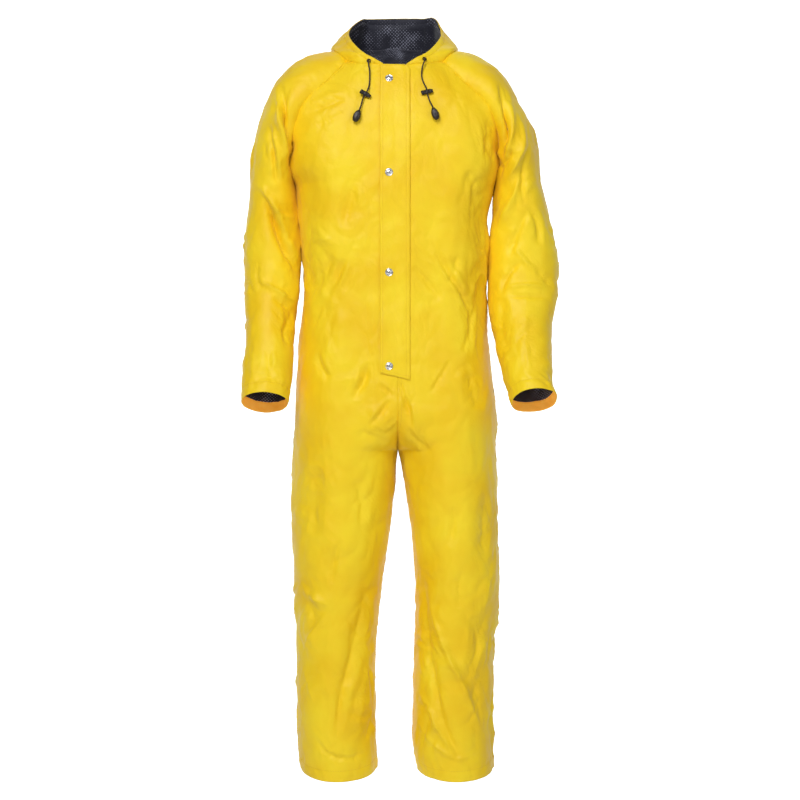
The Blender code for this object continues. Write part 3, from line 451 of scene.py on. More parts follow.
# outline of the body, from hem to armpit, at the sides and at the inner legs
sides = columnsOf(
    "z side_right side_left inner_right inner_left",
    (
        (-1.429, 0.195, 0.203, -0.037, 0.045),
        (-1.382, 0.199, 0.201, -0.039, 0.036),
        (-1.283, 0.203, 0.201, -0.039, 0.037),
        (-1.160, 0.203, 0.205, -0.037, 0.039),
        (-1.062, 0.207, 0.214, -0.027, 0.042),
        (-0.963, 0.211, 0.213, -0.014, 0.034),
        (-0.865, 0.213, 0.211, -0.002, 0.021),
        (-0.800, 0.210, 0.208, 0.004, 0.010),
        (-0.783, 0.209, 0.207, 0.006, 0.006),
        (-0.717, 0.207, 0.209, 0.006, 0.006),
        (-0.644, 0.203, 0.201, 0.006, 0.006),
        (-0.558, 0.197, 0.191, 0.004, 0.004),
        (-0.472, 0.188, 0.188, 0.002, 0.002),
        (-0.353, 0.194, 0.193, 0.000, 0.000),
        (-0.312, 0.197, 0.189, 0.000, 0.000),
        (-0.245, 0.203, 0.203, 0.000, 0.000),
    ),
)

# depths of the body at the centre, before and behind the sides
depths = columnsOf(
    "z front back",
    (
        (-1.429, 0.098, 0.100),
        (-1.283, 0.099, 0.104),
        (-1.160, 0.103, 0.108),
        (-1.062, 0.110, 0.110),
        (-0.963, 0.117, 0.116),
        (-0.865, 0.123, 0.126),
        (-0.783, 0.128, 0.135),
        (-0.717, 0.131, 0.141),
        (-0.644, 0.132, 0.141),
        (-0.558, 0.130, 0.130),
        (-0.472, 0.130, 0.118),
        (-0.353, 0.135, 0.118),
        (-0.245, 0.139, 0.132),
        (-0.150, 0.136, 0.141),
        (-0.080, 0.126, 0.136),
        (-0.030, 0.106, 0.124),
        (0.000, 0.089, 0.113),
        (0.056, 0.070, 0.102),
    ),
)

# raglan seams before and behind each shoulder, and the line along the top of the sleeve between them
raglan = columnsOf(
    "v front_x front_y front_z top_right top_left top_z back_x back_y back_z",
    (
        (0.000, 0.203, 0.000, -0.245, 0.297, 0.297, -0.225, 0.203, 0.000, -0.245),
        (0.125, 0.212, -0.044, -0.212, 0.292, 0.293, -0.172, 0.211, 0.050, -0.212),
        (0.250, 0.210, -0.068, -0.172, 0.281, 0.281, -0.122, 0.207, 0.080, -0.166),
        (0.375, 0.203, -0.082, -0.128, 0.267, 0.258, -0.078, 0.197, 0.099, -0.116),
        (0.500, 0.188, -0.090, -0.090, 0.246, 0.234, -0.034, 0.180, 0.108, -0.072),
        (0.625, 0.165, -0.091, -0.063, 0.220, 0.208, -0.002, 0.156, 0.109, -0.036),
        (0.750, 0.138, -0.086, -0.040, 0.184, 0.176, 0.020, 0.129, 0.104, -0.005),
        (0.875, 0.116, -0.077, -0.017, 0.153, 0.149, 0.030, 0.103, 0.096, 0.022),
        (1.000, 0.097, -0.066, 0.004, 0.129, 0.127, 0.034, 0.080, 0.087, 0.045),
    ),
)

# sections of each sleeve from cuff to armpit: x counts outwards, tilt is the forearm's lean forward
sleeves = {
    "right": columnsOf(
        "inner_x inner_z outer_x outer_z mid_y front back tilt",
        (
            (0.212, -0.687, 0.307, -0.685, -0.118, 0.050, 0.046, 26),
            (0.207, -0.644, 0.307, -0.640, -0.098, 0.052, 0.052, 24),
            (0.206, -0.570, 0.302, -0.570, -0.064, 0.056, 0.057, 22),
            (0.203, -0.521, 0.304, -0.520, -0.042, 0.060, 0.061, 18),
            (0.194, -0.455, 0.309, -0.455, -0.018, 0.066, 0.068, 11),
            (0.191, -0.373, 0.309, -0.373, -0.004, 0.073, 0.076, 5),
            (0.197, -0.300, 0.301, -0.297, 0.000, 0.080, 0.084, 2),
            (0.203, -0.245, 0.297, -0.225, 0.000, 0.086, 0.090, 0),
        ),
    ),
    "left": columnsOf(
        "inner_x inner_z outer_x outer_z mid_y front back tilt",
        (
            (0.233, -0.687, 0.326, -0.679, -0.118, 0.052, 0.044, 30),
            (0.221, -0.644, 0.316, -0.640, -0.098, 0.053, 0.052, 25),
            (0.205, -0.570, 0.318, -0.570, -0.064, 0.056, 0.057, 22),
            (0.195, -0.521, 0.321, -0.520, -0.042, 0.060, 0.061, 18),
            (0.189, -0.455, 0.332, -0.455, -0.018, 0.066, 0.068, 11),
            (0.190, -0.373, 0.332, -0.373, -0.004, 0.073, 0.076, 5),
            (0.199, -0.300, 0.313, -0.297, 0.000, 0.080, 0.084, 2),
            (0.203, -0.245, 0.297, -0.225, 0.000, 0.086, 0.090, 0),
        ),
    ),
}
shoulder = {"lean": np.array([0.45, 0.0, 0.60]), "round": 0.62, "start": 1.3, "topBack": 0.010}

# the hood's free edge from centre front (s=0) to centre back (s=1), and how far the cloth bellies out
hoodTable = columnsOf(
    "s edge_x edge_y edge_z seam_out seam_back seam_down edge_out edge_back edge_down",
    (
        (0.00, 0.024, -0.094, -0.004, 0.000, -0.002, -0.002, 0.000, -0.001, 0.002),
        (0.15, 0.046, -0.095, 0.010, 0.002, -0.004, -0.005, 0.002, -0.003, 0.005),
        (0.30, 0.068, -0.081, 0.024, 0.006, -0.004, -0.008, 0.005, -0.003, 0.008),
        (0.45, 0.087, -0.042, 0.048, 0.010, 0.000, -0.012, 0.010, 0.000, 0.012),
        (0.60, 0.096, 0.012, 0.073, 0.018, 0.024, -0.022, 0.016, 0.018, 0.006),
        (0.70, 0.094, 0.052, 0.089, 0.012, 0.062, -0.016, 0.034, 0.048, 0.030),
        (0.80, 0.084, 0.093, 0.104, 0.002, 0.100, 0.056, 0.044, 0.086, 0.120),
        (0.90, 0.055, 0.128, 0.119, 0.002, 0.114, 0.145, 0.040, 0.114, 0.220),
        (1.00, 0.000, 0.142, 0.1235, 0.000, 0.118, 0.200, 0.000, 0.132, 0.280),
    ),
)
hood = {
    "rows": 60,
    "columns": 76,
    "middle": np.array([0.0, 0.02, 0.05]),
    "peakAt": 0.80,  # along the neck, and how wide the peak is there
    "peakWide": 0.07,
    "peak": {"right": np.array([0.013, 0.006, 0.011]), "left": np.array([-0.003, 0.006, 0.015])},
}

legZ = np.linspace(body["hem"], body["crotch"] - 0.003, cells["leg"])
riseZ = np.linspace(body["crotch"], body["riseTop"], cells["rise"])
riseTurn = np.cos(np.linspace(0, math.pi / 2, cells["rise"]))
torsoZ = np.linspace(body["riseTop"], body["armpit"][2], cells["torso"] + 1)[1:]
lowerZ = np.concatenate([legZ, riseZ, torsoZ])
crotchRow = len(legZ)
innerZ = lowerZ.copy()  # the centre seams' heights: a quarter circle under the body
innerZ[crotchRow : crotchRow + len(riseZ)] = body["riseTop"] - (body["riseTop"] - body["crotch"]) * riseTurn
armpitRow = len(lowerZ) - 1
sleeveRow = cells["sleeve"]
yokeSteps = np.linspace(0, 1, cells["yoke"] + 1)[1:]
hands = {"right": -1, "left": 1}  # and the way each lies along X


def seamPoints(face, sign):  # the raglan seam before or behind a shoulder, from armpit to neck
    seam = [smooth(raglan["v"], raglan[f"{face}_{axis}"], yokeSteps) for axis in "xyz"]
    return pointsOf(*seam) * (sign, 1, 1)


def bodyPanel(hand, face):
    # Rows from hem to neck, columns from side to centre or inseam. Each row is two quarter curves:
    # from the side out to the panel's crown, and from the crown to the centre seam or the inseam.
    sign = hands[hand]
    toward = -1 if face == "front" else 1
    z = lowerZ
    depth = smooth(depths["z"], depths[face], z) * toward
    sideX = smooth(sides["z"], sides["side_" + hand], z) * sign
    innerX = smooth(sides["z"], sides["inner_" + hand], z)
    centreX = smooth(sides["z"], (sides["inner_right"] + sides["inner_left"]) / 2, z)
    innerX = np.where(np.arange(len(z)) < crotchRow, innerX, centreX)
    turn = np.clip((body["riseTop"] - innerZ) / (body["riseTop"] - body["crotch"]), 0, 1)
    innerDepth = smooth(depths["z"], depths[face], innerZ) * toward
    full = body["centreFullness"] * toward * (1 - turn)
    side = pointsOf(sideX, 0, z)
    inner = pointsOf(innerX, (innerDepth + full) * np.sqrt(1 - turn**2), innerZ)
    crown = pointsOf((sideX + innerX) / 2, depth, z)
    across = quarterRound * (sideX - innerX) / 2
    sideHandle = pointsOf(0, quarterRound * depth, 0 * z)
    innerHandle = pointsOf(across * (1 - turn), quarterRound * depth * turn, 0 * z)

    v = yokeSteps
    seam = seamPoints(face, sign)
    centreZ = seam[:, 2] + body["neckRise"][face] * v**2
    centreDepth = smooth(depths["z"], depths[face], centreZ) * toward
    centre = pointsOf(0, centreDepth + body["centreFullness"] * toward, centreZ)
    middle = pointsOf(seam[:, 0] / 2, centreDepth, (seam[:, 2] + centreZ) / 2)
    forward = pointsOf(0, quarterRound * (centreDepth - seam[:, 1]), 0)
    seamHandle = forward * (1 - v[:, None]) + 0.4 * (middle - seam) * v[:, None]
    middleAcross = quarterRound * seam[:, 0] / 2

    t = np.linspace(0, 1, cells[face + "Quarter"] + 1)
    crown = np.concatenate([crown, middle])
    crownHandle = pointsOf(np.concatenate([across, middleAcross]), 0, 0)
    sideHandle = np.concatenate([sideHandle, seamHandle])
    innerHandle = np.concatenate([innerHandle, pointsOf(middleAcross, 0, 0)])
    outerPart = curves(np.concatenate([side, seam]), sideHandle, crownHandle, crown, t)
    innerPart = curves(crown, -crownHandle, innerHandle, np.concatenate([inner, centre]), t)
    grid = np.concatenate([outerPart, innerPart[:, 1:]], axis=1)
    if face == "front":
        low = np.clip(1 - (grid[:, :, 2] - body["hem"]) / body["hemDropHeight"], 0, 1)
        grid[:, :, 2] -= body["hemDrop"] * low**2 * np.sin(np.linspace(0, math.pi, grid.shape[1]))
    return grid


def sleevePanel(hand):
    # Rows from cuff to neck, columns round the arm from the front seam over the outside to the back seam
    sign = hands[hand]
    table = sleeves[hand]
    knots = np.arange(len(table["tilt"]), dtype=float)
    u = np.linspace(0, knots[-1], sleeveRow + 1)
    row = {name: smooth(knots, values, u) for name, values in table.items()}
    tilt = np.radians(row["tilt"])
    inner = pointsOf(row["inner_x"] * sign, row["mid_y"], row["inner_z"])
    outer = pointsOf(row["outer_x"] * sign, row["mid_y"], row["outer_z"])
    topX, topZ = (smooth(raglan["v"], raglan[column], yokeSteps) for column in ("top_" + hand, "top_z"))
    top = pointsOf(topX * sign, shoulder["topBack"] * yokeSteps, topZ)
    keep = (1 - yokeSteps[:, None]) ** shoulder["start"]
    t = np.linspace(0, 1, cells["sleeveHalf"] + 1)
    halves = []
    for face, way in (("front", 1), ("back", -1)):
        lean = way * pointsOf(0, -np.cos(tilt), np.sin(tilt)) * row[face][:, None] / handleReach
        seam = seamPoints(face, sign)
        start = lean[-1] * keep + (top - seam) * shoulder["lean"] * (1 - keep)
        over = pointsOf(0, (seam[:, 1] - top[:, 1]) * shoulder["round"], 0) * (1 - keep) + lean[-1] * keep
        pieces = ((inner, seam), (lean, start), (lean, over), (outer, top))
        halves.append(curves(*map(np.concatenate, pieces), t))
    return np.concatenate([halves[0], halves[1][:, -2::-1]], axis=1)


def hoodHalf(hand, neck, rows, fullness=1.0):
    # Rows from the neck seam to the free edge, columns along the neck from centre front to centre back
    sign = hands[hand]
    s = lengthsAlong(neck) / lengthsAlong(neck)[-1]
    row = {name: smooth(hoodTable["s"], values, s) for name, values in hoodTable.items()}
    edge = pointsOf(row["edge_x"] * sign, row["edge_y"], row["edge_z"])
    edge = edge + np.exp(-(((s - hood["peakAt"]) / hood["peakWide"]) ** 2))[:, None] * hood["peak"][hand]
    seamHandle = pointsOf(row["seam_out"] * sign, row["seam_back"], -row["seam_down"]) * fullness
    edgeHandle = pointsOf(row["edge_out"] * sign, row["edge_back"], -row["edge_down"]) * fullness
    return curves(neck, seamHandle, edgeHandle, edge, np.linspace(0, 1, rows)).transpose(1, 0, 2)


# Main creases, in millimetres, as they look from the front, the back and the sides. Each row says the half
# width, the depth (below 0 a trough, above 0 a ridge), how sharp, the side that turns up in a lip, and the
# points of the line.

creases = {
    "front": """
        11 -3.0 0 1  -177,-106 -140,-92 -100,-78
        9 -1.6 0 0  -167,-132 -130,-122 -102,-106
        14 -3.2 0 0  -80,-241 -90,-287 -104,-337
        12 -3.2 0.3 -1  -100,-401 -118,-437 -138,-473
        24 -5.0 0 0  -118,-397 -153,-433 -177,-481
        8 2.4 0.2 0  -177,-367 -153,-359 -126,-357
        8 -3.0 0.4 1  -161,-585 -149,-613 -132,-641
        14 -2.5 0 0  -145,-481 -130,-541 -124,-585
        8 -3.2 0.2 0  146,-221 160,-271 164,-319
        9 -3.0 0 0  190,-122 184,-165 198,-201
        8 3.2 0.5 0  72,-387 96,-425 126,-469 150,-517
        9 -4.2 0.5 1  84,-385 112,-437 148,-493 154,-531 138,-585
        5 -1.8 0.7 -1  112,-599 92,-633 72,-665
        9 -2.8 0.2 0  38,-415 66,-447 90,-479
        8 -2.6 0.2 0  126,-395 120,-421 110,-451
        13 -3.0 0 0  176,-315 178,-401 166,-487
        10 -2.6 0 0  142,-605 156,-651 166,-697
        10 -3.6 0.3 -1  -52,-605 -62,-639 -82,-679
        4.5 -2.6 0.7 1  -32,-651 -18,-659 -5,-673
        5.5 -3.2 0.6 -1  -10,-683 -28,-705 -50,-733
        4 -2.8 0.7 0  4,-713 -8,-723 -21,-735
        4 -2.8 0.7 0  5,-729 -6,-741 -20,-748
        11 -2.6 0.2 0  -70,-742 -46,-754 -14,-766
        5 -3.6 0.6 1  10,-645 18,-673 30,-707 34,-737
        7 -2.8 0.3 0  26,-737 46,-764 70,-784
        24 -4.0 0 0  -153,-790 -163,-870 -167,-950
        12 -2.2 0.1 0  -74,-840 -68,-880 -64,-928
        15 -4.0 0 0  184,-860 182,-940 180,-1024
        11 -2.2 0 0  118,-896 114,-936 112,-976
        7 2.4 0.4 0  -193,-1052 -167,-1076 -132,-1094
        15 -4.2 0.1 0  -181,-1084 -167,-1116 -181,-1152
        5 2.6 0.6 0  -132,-1102 -159,-1138 -183,-1184 -191,-1208
        4 1.6 0.6 0  -189,-1220 -175,-1258 -165,-1292
        13 -4.6 0 1  -40,-1050 -64,-1092 -70,-1128 -84,-1190 -108,-1276 -124,-1363
        14 3.5 0.1 0  -42,-1130 -54,-1210 -68,-1300 -78,-1369
        6 -3.0 0.3 0  -40,-1322 -48,-1342 -58,-1367
        4 -2.6 0.6 1  -155,-1369 -143,-1385 -122,-1397 -94,-1401 -58,-1393
        11 -6.0 0.3 0  52,-1010 60,-1092 66,-1184 80,-1260 100,-1336 124,-1393
        10 5.0 0.3 0  66,-1060 78,-1120 108,-1196 138,-1260 178,-1355
        3.5 1.8 0.8 0  64,-1134 76,-1172 98,-1202
        6 4.4 0.4 0  42,-1268 64,-1294 88,-1346 122,-1395
        4 2.4 0.7 0  40,-1322 64,-1361 94,-1387 128,-1403 170,-1385
        18 -3.6 0 0  162,-1080 170,-1180 166,-1260 154,-1304
        6 2.4 0.3 0  196,-1026 188,-1060 180,-1100
        10 -2.0 0 0  132,-1024 128,-1060 128,-1100
        9 -2.4 0.1 0  -110,-960 -122,-1000 -128,-1050
    """,
    "sleeveFront": """
        6 -7.0 0.5 -1  -229,-43 -225,-83 -218,-131 -210,-176 -202,-220
        10 5.0 0.1 0  -230,-55 -230,-111 -224,-168 -216,-228
        7 -4.5 0.3 1  -256,-123 -250,-160 -244,-196 -238,-244
        5 -2.2 0.3 0  -266,-156 -262,-178 -256,-202
        7 4.2 0.3 0  -268,-244 -256,-273 -236,-301 -206,-315
        9 -4.0 0.1 0  -252,-307 -232,-333 -210,-358
        10 -9.0 0.4 1  -262,-269 -244,-325 -222,-372 -202,-408 -186,-446
        4.5 4.4 0.6 0  -274,-440 -248,-454 -220,-471 -194,-483
        8 -3.6 0.2 0  -244,-473 -224,-487 -204,-501
        4 -1.8 0.5 0  -299,-438 -291,-454 -283,-471
        4 -2.2 0.5 1  -276,-402 -279,-430 -268,-456
        8 -5.0 0.4 1  -202,-488 -210,-518 -220,-542 -208,-580
        6 1.0 0.2 0  -284,-560 -284,-600 -286,-649
        7 -1.6 0.2 0  -248,-498 -236,-508 -224,-522
        7 -1.6 0.1 0  -248,-570 -250,-604 -246,-649
        9 -7.0 0.3 1  212,-43 222,-91 222,-143 208,-192 204,-240
        8 4.4 0.2 0  247,-99 259,-135 253,-180 228,-236
        6 -6.0 0.5 0  236,-180 218,-208 206,-232 203,-253
        5 -5.5 0.5 0  214,-267 208,-285 204,-303
        9 4.5 0.1 0  251,-228 244,-257 222,-305 198,-349
        8 -3.2 0.1 0  267,-168 259,-232 259,-291
        8 -3.4 0.1 1  267,-291 285,-315 291,-335 290,-368
        9 -4.0 0.1 0  267,-301 247,-341 232,-386
        5 4.2 0.5 0  238,-370 261,-398 287,-426
        7 -4.4 0.3 0  255,-402 236,-418 220,-446 216,-467
        4 3.2 0.5 0  228,-454 261,-449 307,-454
        4 -2.2 0.4 0  226,-469 267,-471 315,-473
        5 -2.0 0.3 0  289,-422 309,-442 331,-461
        14 -4.4 0.1 0  217,-476 211,-536 231,-604
        5 -3.0 0.4 0  307,-580 311,-614 313,-653
        6 1.2 0.2 0  265,-500 263,-560 267,-624
    """,
    "back": """
        18 -5.0 0.1 0  -150,-110 -118,-190 -84,-280
        14 -4.2 0.2 1  146,-100 112,-170 78,-262
        9 -3.0 0.4 0  -60,-120 -52,-190 -40,-250
        8 2.8 0.3 0  70,-140 52,-230 50,-300
        12 -4.5 0.3 -1  -176,-404 -120,-442 -40,-462 26,-452
        9 3.2 0.4 0  -168,-432 -100,-478 -20,-492
        10 -4.2 0.3 1  178,-430 130,-470 60,-492
        7 -3.2 0.5 0  160,-388 96,-414 44,-412
        6 2.4 0.4 0  -120,-520 -60,-536 -10,-528
        14 -4.0 0.1 0  -164,-560 -150,-640 -156,-710
        12 -3.6 0.1 0  160,-570 150,-640 158,-720
        9 -4.6 0.4 1  -20,-752 -70,-728 -128,-716
        7 3.0 0.4 0  -24,-790 -80,-768 -140,-770
        9 -4.6 0.4 -1  30,-756 84,-724 140,-704
        7 2.8 0.4 0  36,-796 90,-772 150,-762
        16 -4.6 0.1 0  -140,-830 -126,-940 -118,-1040
        13 -4.0 0.2 0  134,-850 126,-950 110,-1060
        8 -4.6 0.5 1  -192,-1068 -140,-1098 -76,-1092 -46,-1074
        6 3.4 0.5 0  -186,-1106 -128,-1128 -62,-1118
        6 -3.0 0.5 0  -176,-1136 -126,-1160 -84,-1166
        8 -4.4 0.5 -1  196,-1092 142,-1122 92,-1112 56,-1090
        6 3.2 0.5 0  188,-1128 130,-1150 74,-1134
        13 -4.0 0.2 0  -110,-1180 -140,-1290 -150,-1380
        11 4.0 0.2 0  -90,-1200 -100,-1300 -86,-1396
        12 -4.6 0.3 0  110,-1190 92,-1290 98,-1390
        10 4.2 0.2 0  140,-1200 146,-1300 158,-1386
        5 -3.0 0.6 1  -160,-1372 -130,-1398 -80,-1400
        5 -2.6 0.6 1  160,-1376 124,-1400 78,-1392
    """,
    "sleeveBack": """
        9 -4.4 0.3 1  -214,-80 -222,-150 -214,-220
        8 3.6 0.3 0  -240,-110 -242,-180 -228,-250
        8 -4.6 0.4 0  -284,-330 -246,-372 -206,-392
        6 3.8 0.5 0  -290,-404 -250,-430 -206,-432
        6 -4.0 0.5 1  -288,-446 -250,-462 -208,-458
        7 2.6 0.3 0  -280,-500 -250,-530 -226,-580
        8 -3.6 0.3 0  -240,-560 -250,-610 -262,-650
        9 -4.4 0.3 1  212,-76 224,-140 212,-230
        8 3.4 0.3 0  244,-120 248,-190 230,-260
        8 -4.8 0.4 0  300,-340 256,-384 210,-402
        6 3.8 0.5 0  306,-420 262,-440 212,-436
        6 -4.0 0.5 -1  304,-462 262,-476 214,-470
        7 -3.0 0.3 0  246,-520 262,-570 268,-640
    """,
    "side": """
        14 -4.0 0.1 0  -10,-830 6,-920 -6,-1010
        8 -4.2 0.5 1  -62,-1050 -20,-1078 40,-1096
        6 3.2 0.5 0  -58,-1086 -10,-1112 52,-1122
        6 -2.8 0.5 0  -30,-1126 10,-1146 60,-1150
        12 -4.0 0.2 0  -30,-1170 -12,-1270 -26,-1390
        10 3.6 0.2 0  26,-1190 30,-1290 14,-1400
        8 -3.0 0.3 0  40,-660 10,-740 24,-800
    """,
    "sleeveSide": """
        10 -4.0 0.2 0  -50,-90 -40,-170 -46,-240
        8 3.0 0.3 0  30,-80 36,-160 20,-260
        8 -4.4 0.4 1  60,-300 16,-344 -44,-368
        6 3.8 0.5 0  56,-352 8,-392 -50,-404
        6 -4.2 0.5 0  48,-398 0,-430 -60,-436
        5 3.0 0.6 0  40,-440 -14,-462 -70,-462
        7 -3.4 0.4 1  10,-500 -40,-520 -96,-516
        9 -3.0 0.2 0  -40,-540 -70,-600 -98,-660
    """,
    "hoodBack": """
        13 -7.0 0.2 1  -78,54 -52,14 0,-8 50,12 76,50
        9 5.0 0.3 0  -64,22 -30,-18 10,-26 52,-6
        8 -4.6 0.4 0  -70,88 -40,58 6,44 44,60
        10 -4.0 0.2 0  20,104 8,70 14,30
    """,
}

# How the creases and the unevenness between them are drawn, in metres. A facet's slope is its rise per
# length, and "least" is the share of it where no crease is near. "tables" is how far each table counts.
swell = {
    "creases": 2.1,
    "width": 0.72,
    "sharper": 0.6,
    "turnAway": 1.3,
    "tables": {"side": 0.4, "sleeveFront": 1.2, "sleeveSide": 0.4, "sleeveBack": 0.7, "hoodBack": 0.36},
    "leftSide": (0.006, 0.021),  # the left side's creases lie the other way round and lower
    "long": 0.7 * mm,
    "short": 0.2 * mm,
    "facets": ({"size": 0.062, "slope": 0.23, "turn": 35}, {"size": 0.027, "slope": 0.24, "turn": -20}),
    "facetsLie": 3.0 * mm,
    "least": 0.35,
    "pucker": 0.35 * mm,
    "puckerReach": 0.012,
    "seamBent": 0.7,
    "seamReach": 0.020,
    "seamDip": 0.5 * mm,
    "hem": 0.5 * mm,
    "hoodHem": 0.012,
    "raglanFill": 5.0 * mm,
    "armpitFill": 2.4 * mm,
    "armpitReach": 0.018,
}


stroke = {  # how each line of the table is drawn, in half widths unless it says otherwise
    "points": 13,
    "box": 4,
    "lipDepth": 0.45,
    "lipAt": 1.9,
    "lipWidth": 0.9,
    "bentWidth": 1.6,
    "bentMore": 10 * mm,
    "fade": 0.6,
}


def bell(distance, reach):  # 1 at the middle and falling off over the reach
    return np.exp(-((distance / reach) ** 2))


def creaseHeights(at, strokes):
    # Height at each point: a rounded or a sharp profile of the distance to the line over its half width,
    # fading to both ends, with a lip beside it on the side it names. The second value is how bent the
    # cloth is: 1 on a line, falling off over some half widths.
    height = np.zeros(len(at))
    bent = np.zeros(len(at))
    for row in strokes.strip().splitlines():
        halfWidth, depth, sharp, lip, *path = map(float, row.replace(",", " ").split())
        line = resample(np.reshape(path, (-1, 2)) * mm, stroke["points"])
        width = swell["width"] * halfWidth * mm
        sharp = min(1, sharp + swell["sharper"])
        box = stroke["box"] * width
        near = np.flatnonzero(((at > line.min(axis=0) - box) & (at < line.max(axis=0) + box)).all(axis=1))
        if not len(near):
            continue
        step = np.diff(line, axis=0)
        away = at[near, None] - line[:-1]
        part = np.clip((away * step).sum(axis=-1) / (step**2).sum(axis=-1), 0, 1)
        off = away - part[:, :, None] * step
        squared = (off**2).sum(axis=-1)
        closest = squared.argmin(axis=1)
        pick = (np.arange(len(near)), closest)
        side = np.sign(step[closest, 0] * off[pick][:, 1] - step[closest, 1] * off[pick][:, 0])
        distance = np.sqrt(squared[pick])
        q = distance / width
        profile = (1 - sharp) * np.exp(-(q**2)) + sharp * np.exp(-1.4 * (np.sqrt(q**2 + 0.06) - 0.245))
        fade = np.sin(math.pi * (closest + part[pick]) / (len(line) - 1)) ** stroke["fade"]
        lifted = stroke["lipDepth"] * bell(side * q - stroke["lipAt"] * lip, stroke["lipWidth"]) if lip else 0
        height[near] += depth * mm * (profile - lifted) * fade
        bentHere = bell(distance, stroke["bentWidth"] * width + stroke["bentMore"]) * fade
        bent[near] = np.maximum(bent[near], bentHere)
    return height, bent


def facetHeights(at, size, slope, turn):
    # The cloth's flats between sharp bends: slope times the distance to the nearest wall between cells that
    # lie round scattered points, one in each cube of a grid that is turned about Y and drawn out along it
    a = math.radians(turn)
    at = at + 0.012 * np.stack([waves(at, (0.09, 0.09, 0.09), 8, seed) for seed in (3, 5, 7)], axis=-1)
    turned = np.array(((math.cos(a), 0, math.sin(a)), (0, 1, 0), (-math.sin(a), 0, math.cos(a))))
    at = at @ turned * (1, 1, 0.6)
    scatter = np.random.default_rng(int(size * 1000)).random((4096, 3))
    steps = np.stack(np.meshgrid((-1, 0, 1), (-1, 0, 1), (-1, 0, 1)), axis=-1).reshape(-1, 3)
    cubes = np.floor(at / size).astype(np.int64)[:, None] + steps
    pick = (cubes * (73856093, 19349663, 83492791)).sum(axis=-1) % len(scatter)  # each cube's own point
    toPoint = (cubes + scatter[pick]) * size - at[:, None]
    nearest = (toPoint**2).sum(axis=-1).argmin(axis=1)
    own = toPoint[np.arange(len(at)), nearest][:, None]
    between = toPoint - own
    length = np.linalg.norm(between, axis=-1)
    toWall = ((toPoint + own) / 2 * between).sum(axis=-1) / np.maximum(length, 1e-9)
    return slope * np.where(length > 1e-9, toWall, size).min(axis=1)


def unevenness(at, bent):  # everywhere: long soft swells, small dents, and flat facets in two sizes
    long = waves(at, (0.085, 0.085, 0.13), 16, 11)
    short = waves(at, (0.028, 0.028, 0.040), 18, 23)
    flats = sum(facetHeights(at, **kind) for kind in swell["facets"]) - swell["facetsLie"]
    share = swell["least"] + (1 - swell["least"]) * bent
    return swell["long"] * long + swell["short"] * short + flats * share


def beside(grid, normal, which, distance, first=0, last=None):
    # The line at a distance from one edge of a grid, with the normals along it
    if which in ("bottom", "top"):
        grid, normal = grid.transpose(1, 0, 2), normal.transpose(1, 0, 2)
    if which in ("end", "top"):
        grid, normal = grid[:, ::-1], normal[:, ::-1]
    grid, normal = grid[first:last], normal[first:last]
    run = spansOf(grid)["start"]
    i = np.clip((run < distance).sum(axis=1) - 1, 0, grid.shape[1] - 2)
    rows = np.arange(len(grid))
    f = ((distance - run[rows, i]) / (run[rows, i + 1] - run[rows, i] + 1e-9))[:, None]
    line, up = (values[rows, i] * (1 - f) + values[rows, i + 1] * f for values in (grid, normal))
    return line, unit(up)


def edge(shape, which, first, last):  # the indices of one edge of a grid
    line = np.arange(shape[0] if which in ("start", "end") else shape[1])[first:last]
    fixed = np.full(len(line), {"start": 0, "end": shape[1] - 1, "bottom": 0, "top": shape[0] - 1}[which])
    return (line, fixed) if which in ("start", "end") else (fixed, line)


def sewnEdges():  # both sides of each seam, as panel, edge and the indices along it
    for pair in seams:
        yield [(name, which, edge(panels[name].shape, which, *rows)) for name, which, *rows in pair]


def shareNormals(normals):  # panels that meet at a seam have one normal there
    for (a, _, atA), (b, _, atB) in sewnEdges():
        shared = unit(normals[a][atA] + normals[b][atB])
        normals[a][atA] = shared
        normals[b][atB] = shared
    for name in normals:
        if name.startswith("sleeve"):
            normals[name][sleeveRow, [0, -1]] = (0, 0, -1)
        elif not name.startswith("hood"):
            normals[name][armpitRow, 0] = (0, 0, -1)
            normals[name][crotchRow, -1] = (0, 0, -1)


hoodColumn = cells["frontQuarter"] + int(0.6 * cells["frontQuarter"])  # of the front, where the hood begins


def neckLine(grids, hand, row):  # a row of the three panels at the neck, from centre front to centre back
    front, sleeve, back = (grids[f"{name}_{hand}"][row] for name in ("front", "sleeve", "back"))
    return resample(np.concatenate([front[hoodColumn::-1], sleeve[1:], back[1:]]), hood["columns"])


panels = {}
necks = {}
seams = []  # edges that are sewn together, as panel, edge, first and last row or column
for hand in hands:
    front, back, sleeve = (f"{name}_{hand}" for name in ("front", "back", "sleeve"))
    for face in ("front", "back"):
        panels[f"{face}_{hand}"] = bodyPanel(hand, face)
    panels[sleeve] = sleevePanel(hand)
    necks[hand] = neckLine(panels, hand, -1)
    panels["hood_" + hand] = hoodHalf(hand, necks[hand], hood["rows"])
    seams += [
        ((front, "start", 0, armpitRow + 1), (back, "start", 0, armpitRow + 1)),
        ((front, "end", 0, crotchRow + 1), (back, "end", 0, crotchRow + 1)),
        ((sleeve, "start", 0, sleeveRow + 1), (sleeve, "end", 0, sleeveRow + 1)),
        ((front, "start", armpitRow, None), (sleeve, "start", sleeveRow, None)),
        ((back, "start", armpitRow, None), (sleeve, "end", sleeveRow, None)),
    ]
for name, first in (("front", crotchRow), ("back", crotchRow), ("hood", 0)):
    seams.append(((name + "_right", "end", first, None), (name + "_left", "end", first, None)))

